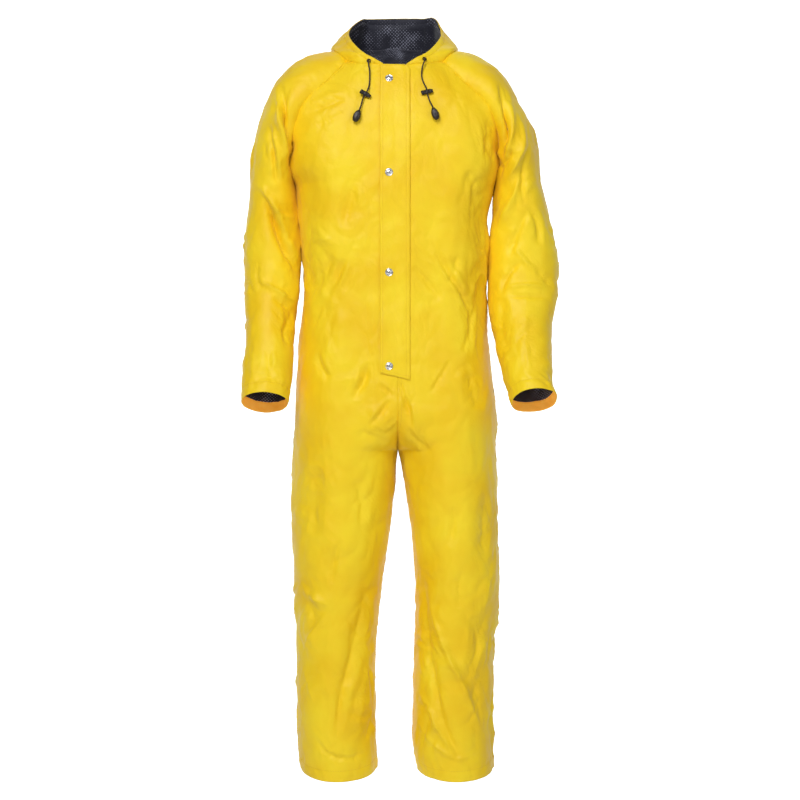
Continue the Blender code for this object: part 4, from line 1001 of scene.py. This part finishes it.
awayFrom = {}
for name, grid in panels.items():
    level = (1.0, 1.0, 1.0) if name.startswith("sleeve") else (1.0, 0.0, 1.0)
    awayFrom[name] = hood["middle"] if name.startswith("hood") else grid.mean(axis=1, keepdims=True) * level
normals = {name: normalsOf(grid, awayFrom[name]) for name, grid in panels.items()}
for hand in hands:  # the hood's first row lies one row down, in the middle of the wall it is sewn to
    name = "hood_" + hand
    panels[name][0] = neckLine(panels, hand, -2) - body["wall"] / 2 * unit(neckLine(normals, hand, -2))
    normals[name] = normalsOf(panels[name], awayFrom[name])
shareNormals(normals)
spans = {name: spansOf(grid) for name, grid in panels.items()}
corners = [(sign * body["armpit"][0], 0, body["armpit"][2]) for sign in hands.values()]
corners.append((0.006, 0, body["crotch"]))

heights = {}
bending = {}
for name, grid in panels.items():
    normal = normals[name]
    kind, hand = name.split("_")
    flat = grid.reshape(-1, 3)
    outwards = hands[hand] * normal[:, :, 0]
    if kind == "sleeve":  # creases, axes they are drawn in, and how far the cloth faces that way
        views = [("sleeveFront", (0, 2), -normal[:, :, 1]), ("sleeveBack", (0, 2), normal[:, :, 1])]
        views.append(("sleeveSide", (1, 2), outwards))
    elif kind == "hood":
        views = [("hoodBack", (0, 2), normal[:, :, 1])]
    else:
        views = [(kind, (0, 2), normal[:, :, 1] * (-1 if kind == "front" else 1)), ("side", (1, 2), outwards)]
    height = np.zeros(grid.shape[:2])
    bent = np.zeros(grid.shape[:2])
    for table, axes, facing in views:
        at = flat[:, axes].copy()
        if axes[0] == 1 and hand == "left":
            at = at * (-1, 1) + swell["leftSide"]
        found, bentHere = (values.reshape(grid.shape[:2]) for values in creaseHeights(at, creases[table]))
        share = swell["creases"] * swell["tables"].get(table, 1.0)
        height += share * found * np.clip(facing, 0, 1) ** swell["turnAway"]
        bent = np.maximum(bent, bentHere * (facing > 0))
    height += unevenness(flat, bent.ravel()).reshape(grid.shape[:2])

    span = spans[name]
    sewn = [span["end"], span["bottom"]] if kind == "hood" else [span["start"], span["end"], span["top"]]
    nearest = np.minimum.reduce(sewn)
    bending[name] = np.maximum(bent, swell["seamBent"] * bell(nearest, swell["seamReach"]))
    pucker = waves(flat, (0.015, 0.015, 0.015), 12, 53).reshape(nearest.shape)
    height += swell["pucker"] * pucker * bell(nearest, swell["puckerReach"])
    # a hem swells, and dips at its stitches
    free, band = (span["top"], swell["hoodHem"]) if kind == "hood" else (span["bottom"], body["hemBand"])
    height += swell["hem"] * np.sin(math.pi * np.clip(free / band, 0, 1))
    height += swell["hem"] * (pucker * bell(free - band, swell["puckerReach"]) - bell(free - band, 0.003))
    if kind != "hood":  # the raglan seams lie less deep than the two surfaces meet there
        firstRow = grid.shape[0] - 1 - cells["yoke"]
        yoke = ease(0.15, 0.5, (np.arange(grid.shape[0]) - firstRow) / cells["yoke"])
        besideSeam = np.minimum(span["start"], span["end"]) if kind == "sleeve" else span["start"]
        height += swell["raglanFill"] * yoke[:, None] * bell(besideSeam, swell["seamReach"])
    height *= ease(0.0, 0.012, span["bottom"] if kind == "hood" else span["top"])  # nothing at the neck
    for corner in corners:
        height *= ease(0.0, 0.022, np.linalg.norm(grid - corner, axis=2))
    heights[name] = height

for pair in sewnEdges():  # one height along each seam, with a fine dip at it
    (a, _, atA), (b, _, atB) = pair
    shared = (heights[a][atA] + heights[b][atB]) / 2
    for name, which, at in pair:
        rows = at[0]
        change = (shared - heights[name][at])[:, None]
        heights[name][rows] += change * bell(spans[name][which][rows], 0.016)
        heights[name][rows] -= swell["seamDip"] * bell(spans[name][which][rows], 0.002)

for name, grid in panels.items():  # below the armpit the sleeve rests against the body
    if not name.startswith("hood"):
        reach = swell["armpitReach"]
        below = bell(grid[:, :, 2] - body["armpit"][2] + reach, reach)
        nearest = spans[name]["start"]
        if name.startswith("sleeve"):
            nearest = np.minimum(nearest, spans[name]["end"])
        heights[name] += swell["armpitFill"] * below * bell(nearest, 0.03)

inwards = {name: normal.copy() for name, normal in normals.items()}  # the wall's inner side lies this way
for name in panels:
    panels[name] = panels[name] + normals[name] * heights[name][:, :, None]
normals = {name: normalsOf(grid, awayFrom[name]) for name, grid in panels.items()}
shareNormals(normals)
print("panels shaped")


# Pocket slits: the front panel is drawn back from the side seam between the slit's ends

slit = {
    "low": -0.732,
    "high": -0.612,
    "width": 0.014,
    "facingGap": 3.0 * mm,
    "facingMore": 0.035,  # how far the facing goes on above and below the slit
    "facingColumns": (16, 6),  # of the front and of the back
    "facingWall": 0.8 * mm,
    "facingCut": (0.12, 0.22),
}
closed = {name: grid.copy() for name, grid in panels.items()}
for hand in hands:
    panel = panels["front_" + hand]
    partWay = (panel[: armpitRow + 1, 0, 2] - slit["low"]) / (slit["high"] - slit["low"])
    for row in np.flatnonzero((partWay > 0) & (partWay < 1)):
        run = lengthsAlong(panel[row])
        shifted = run + slit["width"] * math.sin(math.pi * partWay[row]) ** 0.7 * (1 - run / run[-1])
        panel[row] = np.stack([np.interp(shifted, run, panel[row][:, axis]) for axis in range(3)], axis=-1)


# Large pieces, each with its cut's width and length in metres

for name, grid in panels.items():
    kind = name.split("_")[0]
    span = spansOf(grid)
    print(name, "widest", round(span["start"][:, -1].max(), 3), "longest", round(span["bottom"][-1].max(), 3))
    looks = [nylon, backing, hoodMesh if kind == "hood" else meshCloth]
    free, band = (spans[name]["top"], 0.0) if kind == "hood" else (spans[name]["bottom"], body["hemBand"])
    insideLooks = np.where(free > band, 2, 1)  # mesh, or the cloth's back where it is turned in as a hem
    bent = bending[name]
    clothPiece(name, grid, inwards[name], body["wall"], looks, bent, insideLooks)
print("panels made")


# Pocket facing: a strip behind each slit, seen through it

for hand in hands:
    z = closed["front_" + hand][:, 0, 2]
    rows = np.flatnonzero((z > slit["low"] - slit["facingMore"]) & (z < slit["high"] + slit["facingMore"]))
    before, behind = slit["facingColumns"]
    front, back = "front_" + hand, "back_" + hand
    grid, normal = (
        np.concatenate([grids[front][rows, before:0:-1], grids[back][rows, :behind]], axis=1)
        for grids in (closed, inwards)
    )
    gapAt = (slit["facingGap"], slit["facingGap"] / 2, 0.3 * mm)
    gap = np.interp(np.arange(before + behind), (0, before, before + behind - 1), gapAt)
    facing = grid - normal * (body["wall"] + gap[:, None])
    looks, cut = [nylon, backing], slit["facingCut"]
    clothPiece("pocket_facing_" + hand, facing, normal, slit["facingWall"], looks)


# Cuff linings: mesh inside each cuff, above the turned-in hem

cuff = {
    "from": 0.021, "to": 0.115, "gap": 1.2 * mm, "hang": 1.2, "most": 4, "wall": 0.9 * mm,
    "cut": (0.34, 0.10),
}
for hand in hands:
    grid, normal = panels["sleeve_" + hand], inwards["sleeve_" + hand]
    run = spansOf(grid)["bottom"].mean(axis=1)
    rows = np.flatnonzero((run > cuff["from"]) & (run < cuff["to"]))
    hang = waves(grid[rows].reshape(-1, 3), (0.03, 0.03, 0.09), 10, 61).reshape(len(rows), -1)
    run = run[rows, None] - cuff["from"]
    hang = np.clip(cuff["hang"] * hang + 1.0, 0, cuff["most"]) * mm * ease(0, 0.03, run)
    gap = body["wall"] + cuff["gap"] * ease(-0.004, 0.012, run) + hang
    lined = grid[rows] - normal[rows] * gap[:, :, None]
    name = "cuff_lining_" + hand
    clothPiece(name, lined, normal[rows], cuff["wall"], [meshCloth])


# Hood lining: mesh that hangs inside the hood in soft folds

lining = {
    "rows": 60,
    "fullness": 0.84,
    "wall": 0.9 * mm,
    "gap": 2.4 * mm,
    "folds": 4.5 * mm,
    "foldSize": (0.026, 1, 0.1),
    "trim": 4,
    "cut": (0.66, 0.28),
}
halves = [hoodHalf(hand, necks[hand], lining["rows"], lining["fullness"]) for hand in hands]
grid = np.concatenate([halves[0], halves[1][:, -2::-1]], axis=1)
normal = normalsOf(grid, hood["middle"])
span = spansOf(grid)
folds = waves(grid.reshape(-1, 3) * (1, 0, 0.25), lining["foldSize"], 9, 71).reshape(grid.shape[:2])
folds = np.clip(folds + 0.7, 0, 2.4)
folds = folds * lining["folds"] * ease(0.0, 0.035, np.minimum(span["bottom"], span["top"]))
shellHeight = np.concatenate([heights["hood_right"], heights["hood_left"][:, -2::-1]], axis=1)
inset = body["wall"] + lining["gap"] - np.minimum(shellHeight, 0) + folds
within = np.s_[1:-1, lining["trim"] : -lining["trim"]]
lined = (grid - normal * inset[:, :, None])[within]
clothPiece("hood_lining", lined, normal[within], lining["wall"], [hoodMesh])
print("linings made")


# Storm flap: a double strip over the centre seam, sewn along the wearer's left and snapped on the right

flap = {
    "sewn": 0.030,
    "free": -0.029,
    "top": -0.006,
    "bottom": -0.633,
    "slant": 0.014,
    "slantHeight": 0.05,
    "corner": 0.011,
    "wall": 2.2 * mm,
    "gap": 0.7 * mm,
    "lift": 1.6 * mm,
    "rows": 180,
    "columns": 20,
    "cut": (0.062, 0.66),
}


def frontSurface(x, z):  # how far forward the front lies at columns x and heights z
    right, left = (panels["front_" + hand][crotchRow + 2 :] for hand in hands)
    joined = np.concatenate([right, left[:, -2::-1]], axis=1)
    y, height = (np.stack([np.interp(x, row[:, 0], row[:, axis]) for row in joined]) for axis in (1, 2))
    return np.stack([np.interp(z, height[:, i], y[:, i]) for i in range(len(x))], axis=1)


flapX = np.linspace(flap["free"], flap["sewn"], flap["columns"])
flapZ = np.linspace(flap["bottom"], flap["top"], flap["rows"])
kernel = np.hanning(13) / np.hanning(13).sum()
columns = frontSurface(flapX, flapZ).T
depth = np.stack([np.convolve(np.pad(column, 6, "edge"), kernel, "valid") for column in columns], axis=1)
share = (flapX - flap["free"]) / (flap["sewn"] - flap["free"])
down = np.clip(1 - (flapZ - flap["bottom"]) / flap["slantHeight"], 0, 1)[:, None]
z = flapZ[:, None] + flap["slant"] * (0.5 - share) * down
rise = np.clip(flapZ - (flap["top"] - flap["corner"]), 0, None)
rounded = flap["corner"] - np.sqrt(np.clip(flap["corner"] ** 2 - rise**2, 0, None))
x = flap["free"] + share * (flap["sewn"] - flap["free"] - rounded[:, None])
at = pointsOf(x, 0, z).reshape(-1, 3)
ripple = waves(at, (0.05, 1, 0.075), 10, 83).reshape(z.shape)
small = waves(at, (0.024, 1, 0.03), 10, 89).reshape(z.shape)
lift = flap["gap"] + flap["wall"] + 0.4 * mm + (0.45 * ripple + 0.2 * small) * mm * ease(0, 0.3, 1 - share)
lift = lift + flap["lift"] * (1 - share) ** 3 * (1 + 0.5 * np.sin(flapZ * 41)[:, None])
trough = -0.5 * mm * bell(share * 59 - 53, 2.5)  # along the stitching beside the sewn edge
flapGrid = pointsOf(x, depth - lift - trough, z)
flapNormal = normalsOf(flapGrid, np.array([0, 0.2, 0]) + flapGrid * (1, 0, 1))
clothPiece("storm_flap", flapGrid, flapNormal, flap["wall"], [nylon])
print("storm flap made")


# Turned trims: a profile of radii and heights, in mm, run round an axis

def turnMatrix(pointing):
    w = unit(np.array(pointing, float))
    u = unit(np.cross((0.0, 1.0, 0.0) if abs(w[1]) < 0.9 else (1.0, 0.0, 0.0), w))
    return np.stack([u, np.cross(w, u), w])


def turnedPiece(name, profile, count, at, pointing, look, stands, ring=False, shape=None):
    # Points (r cos a, r sin a, h) for each radius and height of the profile; a ring's profile is a closed
    # loop, and any other profile starts and ends on the axis, where the faces run to a single point
    profile = np.array(profile, float).T * mm
    angle = np.linspace(0, 2 * math.pi, count, endpoint=False)
    section = profile if ring else profile[1:-1]
    radius = section[:, :1] + 0 * angle
    height = section[:, 1:] + 0 * angle
    if shape:
        radius, height = shape(radius, height, angle + 0 * height)
    flat = pointsOf(radius * np.cos(angle), radius * np.sin(angle), height).reshape(-1, 3)
    if ring:
        faces = gridFaces(len(section), count, around=True, closed=True)
    else:
        flat = np.concatenate([flat, [[0, 0, profile[0, 1]], [0, 0, profile[-1, 1]]]])
        faces = cappedFaces(len(section), count)
    made = meshObject(name, flat @ turnMatrix(pointing) + np.array(at), faces, [look])
    faceOutward(made)
    return handOver(made, [stands])


snap = {
    "x": -0.0115,
    "heights": (-0.036, -0.227, -0.426, -0.613),
    "near": 8.0 * mm,
    "sink": 0.4 * mm,
    "flapColumn": 6,
    "profile": (
        (0, 1.6, 3.0, 4.2, 4.9, 5.2, 5.6, 6.0, 6.5, 7.1, 7.6, 8.0, 8.0, 7.5, 0),
        (3.0, 2.95, 2.75, 2.35, 1.85, 1.35, 1.15, 1.35, 1.75, 1.85, 1.60, 1.0, 0.3, 0.0, 0),
    ),
}
for i, z in enumerate(snap["heights"], 1):  # each cap lies on the flap, square to it
    flapY = flapGrid[:, snap["flapColumn"], 1]
    above, here, below = (np.interp(z + step, flapZ, flapY) for step in (snap["near"], 0, -snap["near"]))
    facing = unit(np.array((0, -1, (above - below) / (2 * snap["near"]))))
    at = np.array((snap["x"], here, z)) - facing * snap["sink"]
    turnedPiece(f"snap_cap_{i}", snap["profile"], 40, at, facing, metal, f"snap_{i}")


# Drawcords, each through an eyelet and a cord lock to a moulded end

cords = {
    "diameter": 3.0 * mm,
    "lockAt": 7,
    "right": {
        "route": (
            (-0.0526, -0.0986, 0.0014),
            (-0.0534, -0.1046, 0.0008),
            (-0.0528, -0.1092, -0.0075),
            (-0.0508, -0.1110, -0.0190),
            (-0.0503, -0.1140, -0.0320),
            (-0.0510, -0.1200, -0.0480),
            (-0.0545, -0.1289, -0.0618),
            (-0.0588, -0.1310, -0.0694),
            (-0.0631, -0.1331, -0.0770),
            (-0.0664, -0.1350, -0.0885),
            (-0.0688, -0.1384, -0.0975),
            (-0.0704, -0.1403, -0.1020),
        ),
        "eyelet": (-0.0525, -0.0973, 0.0013),
        "facing": (-0.13, -0.97, 0.19),
        "lockPoints": (0.866, 0.0, -0.500),
        "end": (-0.0756, -0.1412, -0.1146),
        "endPoints": (-0.40, -0.05, -0.915),
    },
    "left": {
        "route": (
            (0.0597, -0.0956, 0.0054),
            (0.0612, -0.1008, 0.0066),
            (0.0592, -0.1050, 0.0000),
            (0.0556, -0.1066, -0.0110),
            (0.0537, -0.1118, -0.0283),
            (0.0565, -0.1200, -0.0440),
            (0.0624, -0.1264, -0.0565),
            (0.0643, -0.1286, -0.0650),
            (0.0662, -0.1308, -0.0736),
            (0.0700, -0.1336, -0.0850),
            (0.0740, -0.1385, -0.0935),
            (0.0758, -0.1402, -0.0975),
        ),
        "eyelet": (0.0595, -0.0950, 0.0052),
        "facing": (0.30, -0.87, 0.39),
        "lockPoints": (0.978, 0.0, 0.208),
        "end": (0.0803, -0.1409, -0.1103),
        "endPoints": (0.34, -0.04, -0.940),
    },
}
eyeletProfile = ((2.4, 2.8, 3.4, 4.0, 4.4, 4.4, 2.6, 2.4), (0.9, 1.35, 1.5, 1.2, 0.6, 0.0, 0.0, 0.4))
lockProfile = (  # a button, a waist, and three grooves round the barrel
    (0, 2.6, 3.4, 3.6, 3.6, 3.9, 4.6, 4.8, 4.8)
    + 3 * (4.3, 4.3, 4.8, 4.8)
    + (4.4, 3.4, 0),
    (12.0, 12.0, 11.4, 10.6, 8.2, 8.0, 7.6, 6.8, 4.6)
    + (4.3, 3.9, 3.6, -3.4, -3.7, -4.1, -4.4, -6.4, -6.7, -7.1, -7.4, -10.0)
    + (-11.2, -11.9, -12.0),
)
endProfile = (
    (0, 2.2, 3.0, 3.3, 3.6, 4.6, 5.7, 6.6, 7.3, 7.6, 7.5, 7.0, 6.1, 4.9, 3.2, 1.4, 0),
    (12.6, 12.6, 12.3, 11.6, 10.6, 9.4, 7.6, 5.2, 2.4, -0.4, -3.2, -6.0, -8.6, -10.6, -12.0, -12.5, -12.6),
)
dish = {"height": 6.6 * mm, "wide": 0.30, "depth": 1.5 * mm, "edge": (1.25, 0.75)}


def dishedAt(turn):  # a shallow oval dish in the side of a turned piece, at one turn round its axis
    def shape(radius, height, angle):
        out = np.sqrt((height / dish["height"]) ** 2 + (np.sin((angle - turn) / 2) / dish["wide"]) ** 2)
        return radius - dish["depth"] * ease(*dish["edge"], out), height

    return shape


def tube(name, line, radius, look, stands, count=16):
    # Circles of points round a line: side = unit(tangent x X), up = side x tangent
    tangent = unit(np.gradient(line, axis=0))
    side = unit(np.cross(tangent, (1.0, 0.0, 0.0)))
    up = np.cross(side, tangent)
    angle = np.arange(count) * 2 * math.pi / count
    circle = side[:, None] * np.cos(angle)[:, None] + up[:, None] * np.sin(angle)[:, None]
    points = line[:, None] + radius * circle
    run = lengthsAlong(line)
    uv = np.stack(np.broadcast_arrays(angle * radius, run[:, None]), axis=-1)
    uv = np.concatenate([uv.reshape(-1, 2), [[0, 0], [0, run[-1]]]])
    flat = np.concatenate([points.reshape(-1, 3), line[:1], line[-1:]])
    made = meshObject(name, flat, cappedFaces(len(line), count), [look], uv)
    faceOutward(made)
    return handOver(made, [stands]), run[-1]


for hand in ("right", "left"):
    cord = cords[hand]
    route = np.array(cord["route"])
    line = resample(route, 120)
    stands = "drawcord_" + hand
    made, length = tube(stands + "_braid", line, cords["diameter"] / 2, braid, stands)
    stands = "eyelet_" + hand
    at, facing = cord["eyelet"], cord["facing"]
    turnedPiece(stands + "_ring", eyeletProfile, 32, at, facing, blackened, stands, ring=True)
    stands = "cord_lock_" + hand
    at, facing = route[cords["lockAt"]], cord["lockPoints"]
    lock = turnedPiece(stands + "_body", lockProfile, 36, at, facing, acetal, stands)
    stands = "cord_end_" + hand
    at, facing = cord["end"], -np.array(cord["endPoints"])
    front = turnMatrix(facing) @ np.array((0.0, -1.0, 0.0))
    dished = dishedAt(math.atan2(front[1], front[0]))
    name = stands + "_body"
    end = turnedPiece(name, endProfile, 48, at, facing, acetal, stands, shape=dished)
    print("cord", hand, "length", round(float(length), 4))
print("trims made")


# Stitching, as rows of short spindles of thread

sewing = {
    "pitch": 3.3 * mm,
    "shows": 0.78,
    "radius": 0.42 * mm,
    "thick": np.array((0.35, 1.0, 0.35)),  # at the start, middle and end of a stitch, of the radius
    "lift": np.array((-0.3, 0.55, -0.3)),
    "beside": (2.0 * mm, 8.0 * mm),
    "hem": 0.022,
    "hoodHem": 0.012,
    "flap": (("end", 2.0), ("end", 7.5), ("start", 5.0), ("bottom", 6.0), ("top", 4.0)),  # mm from the edge
}


def threadRow(line, normal):  # one row of stitches: short spindles of four sides, sunk at both ends
    run = lengthsAlong(line)
    count = int(run[-1] / sewing["pitch"])
    if count < 1:
        return np.zeros((0, 3, 4, 3))
    starts = np.arange(count) * run[-1] / count
    ends = starts + sewing["pitch"] * sewing["shows"]
    along = np.stack([starts, (starts + ends) / 2, ends], axis=1)
    at = np.stack([np.interp(along, run, line[:, axis]) for axis in range(3)], axis=-1)
    up = unit(np.stack([np.interp(along, run, normal[:, axis]) for axis in range(3)], axis=-1))
    side = np.cross(unit(at[:, 2:] - at[:, :1]), up)
    angle = np.arange(4) * math.pi / 2 + math.pi / 4
    ring = side[:, :, None] * np.cos(angle)[:, None] + up[:, :, None] * np.sin(angle)[:, None]
    lifted = at + up * (sewing["radius"] * sewing["lift"])[:, None]
    return lifted[:, :, None] + ring * (sewing["radius"] * sewing["thick"])[:, None, None]


def stitching(name, rows):  # all rows of stitches of one seam as one mesh
    stitches = np.concatenate(rows)
    one = np.concatenate([gridFaces(3, 4, around=True), [[3, 2, 1, 0], [8, 9, 10, 11]]])[:, ::-1]
    faces = (one + 12 * np.arange(len(stitches))[:, None, None]).reshape(-1, 4)
    handOver(meshObject(name, stitches.reshape(-1, 3), faces, [thread]))


def rowsBeside(name, which, first=0, last=None, distances=sewing["beside"]):
    grid, normal = panels[name], normals[name]
    return [threadRow(*beside(grid, normal, which, distance, first, last)) for distance in distances]


for hand in ("right", "left"):
    front, back, sleeve, hoodName = (f"{name}_{hand}" for name in ("front", "back", "sleeve", "hood"))
    rows = rowsBeside(front, "start", armpitRow + 6) + rowsBeside(back, "start", armpitRow + 6)
    stitching(f"raglan_stitching_{hand}", rows)
    rows = rowsBeside(back, "start", 2, armpitRow - 4) + rowsBeside(back, "end", 2, crotchRow - 4)
    stitching(f"side_stitching_{hand}", rows + rowsBeside(sleeve, "end", 2, sleeveRow - 4))
    rows = rowsBeside(hoodName, "top", 2, distances=[sewing["hoodHem"]])
    for name in (front, back, sleeve):
        rows += rowsBeside(name, "bottom", distances=[sewing["hem"]])
    stitching(f"hem_stitching_{hand}", rows)
belowFlap = int(np.flatnonzero(panels["front_left"][:, -1, 2] > flap["bottom"] - 0.004)[0])
rows = rowsBeside("front_left", "end", crotchRow + 3, belowFlap) + rowsBeside("hood_left", "end", 2, -2)
stitching("centre_stitching", rows + rowsBeside("back_left", "end", crotchRow + 3))
rows = [threadRow(*beside(flapGrid, flapNormal, which, distance * mm)) for which, distance in sewing["flap"]]
stitching("flap_stitching", rows)
print("stitching made")


# Studio: a pale sweep behind and below, a broad soft light from above in front, and weaker ones beside

studio = {
    "floor": -1.9,
    "front": -8.0,
    "depthBehind": 7.5,
    "sweep": 1.2,
    "width": 20.0,
    "height": 6.0,
    "key": {"at": (-1.2, -4.4, 2.5), "size": 2.4, "power": 184, "colour": "#FFFFFF"},
    "fill": {"at": (2.8, -3.2, 0.6), "size": 2.4, "power": 24, "colour": "#FDFEFF"},
    "back": {"at": (0.0, 2.2, 2.4), "size": 2.4, "power": 14, "colour": "#FFFFFF"},
    "lightsFace": (0.0, 0.0, -0.65),
    "glow": 0.80,
    "glowBetween": (1.2, 2.4),
    "world": 0.20,
}


def paintedSweep():
    # Matt white paint on a curved board: it comes out pure white, with only the faintest shade below. The
    # wall glows and the floor in front does not, so that the folds keep their shade.
    numbers = {"Base Color": toLinear("#FFFFFF"), "Roughness": 0.9, "Emission Color": (1, 1, 1, 1)}
    made, tree, shader, place = newMaterial("painted_sweep", numbers)
    behind = add(tree, "ShaderNodeSeparateXYZ", links={0: place}).outputs["Y"]
    glow = mapped(tree, behind, 0.0, studio["glow"], *studio["glowBetween"])
    tree.links.new(glow, shader.inputs["Emission Strength"])
    return made


# profile from the front of the floor to the top of the wall, with a quarter circle between them
turn = np.linspace(0, math.pi / 2, 24)
bendY = studio["depthBehind"] + studio["sweep"] * np.sin(turn)
bendZ = studio["floor"] + studio["sweep"] * (1 - np.cos(turn))
profileY = np.concatenate([[studio["front"]], bendY, [bendY[-1]]])
profileZ = np.concatenate([[studio["floor"]], bendZ, [studio["floor"] + studio["height"]]])
across = np.array([-studio["width"] / 2, studio["width"] / 2])
board = pointsOf(across[None, :], profileY[:, None], profileZ[:, None])
sweep = meshObject("studio_sweep", board.reshape(-1, 3), gridFaces(len(profileY), 2), [paintedSweep()])

for name in ("key", "fill", "back"):
    light = studio[name]
    data = bpy.data.lights.new(name + "_light", "AREA")
    data.shape = "DISK"
    data.size = light["size"]
    data.energy = light["power"]
    data.color = toLinear(light["colour"])[:3]
    made = bpy.data.objects.new(name + "_light", data)
    made.location = light["at"]
    way = unit(np.array(studio["lightsFace"]) - np.array(light["at"]))
    made.rotation_euler = (math.acos(-way[2]), 0, math.atan2(-way[0], way[1]))
    bpy.context.scene.collection.objects.link(made)

world = bpy.data.worlds.new("pale_room")
world.use_nodes = True
world.node_tree.nodes["Background"].inputs["Color"].default_value = toLinear("#FFFFFF")
world.node_tree.nodes["Background"].inputs["Strength"].default_value = studio["world"]
bpy.context.scene.world = world
bpy.context.scene.view_settings.view_transform = "Standard"
print("studio made")
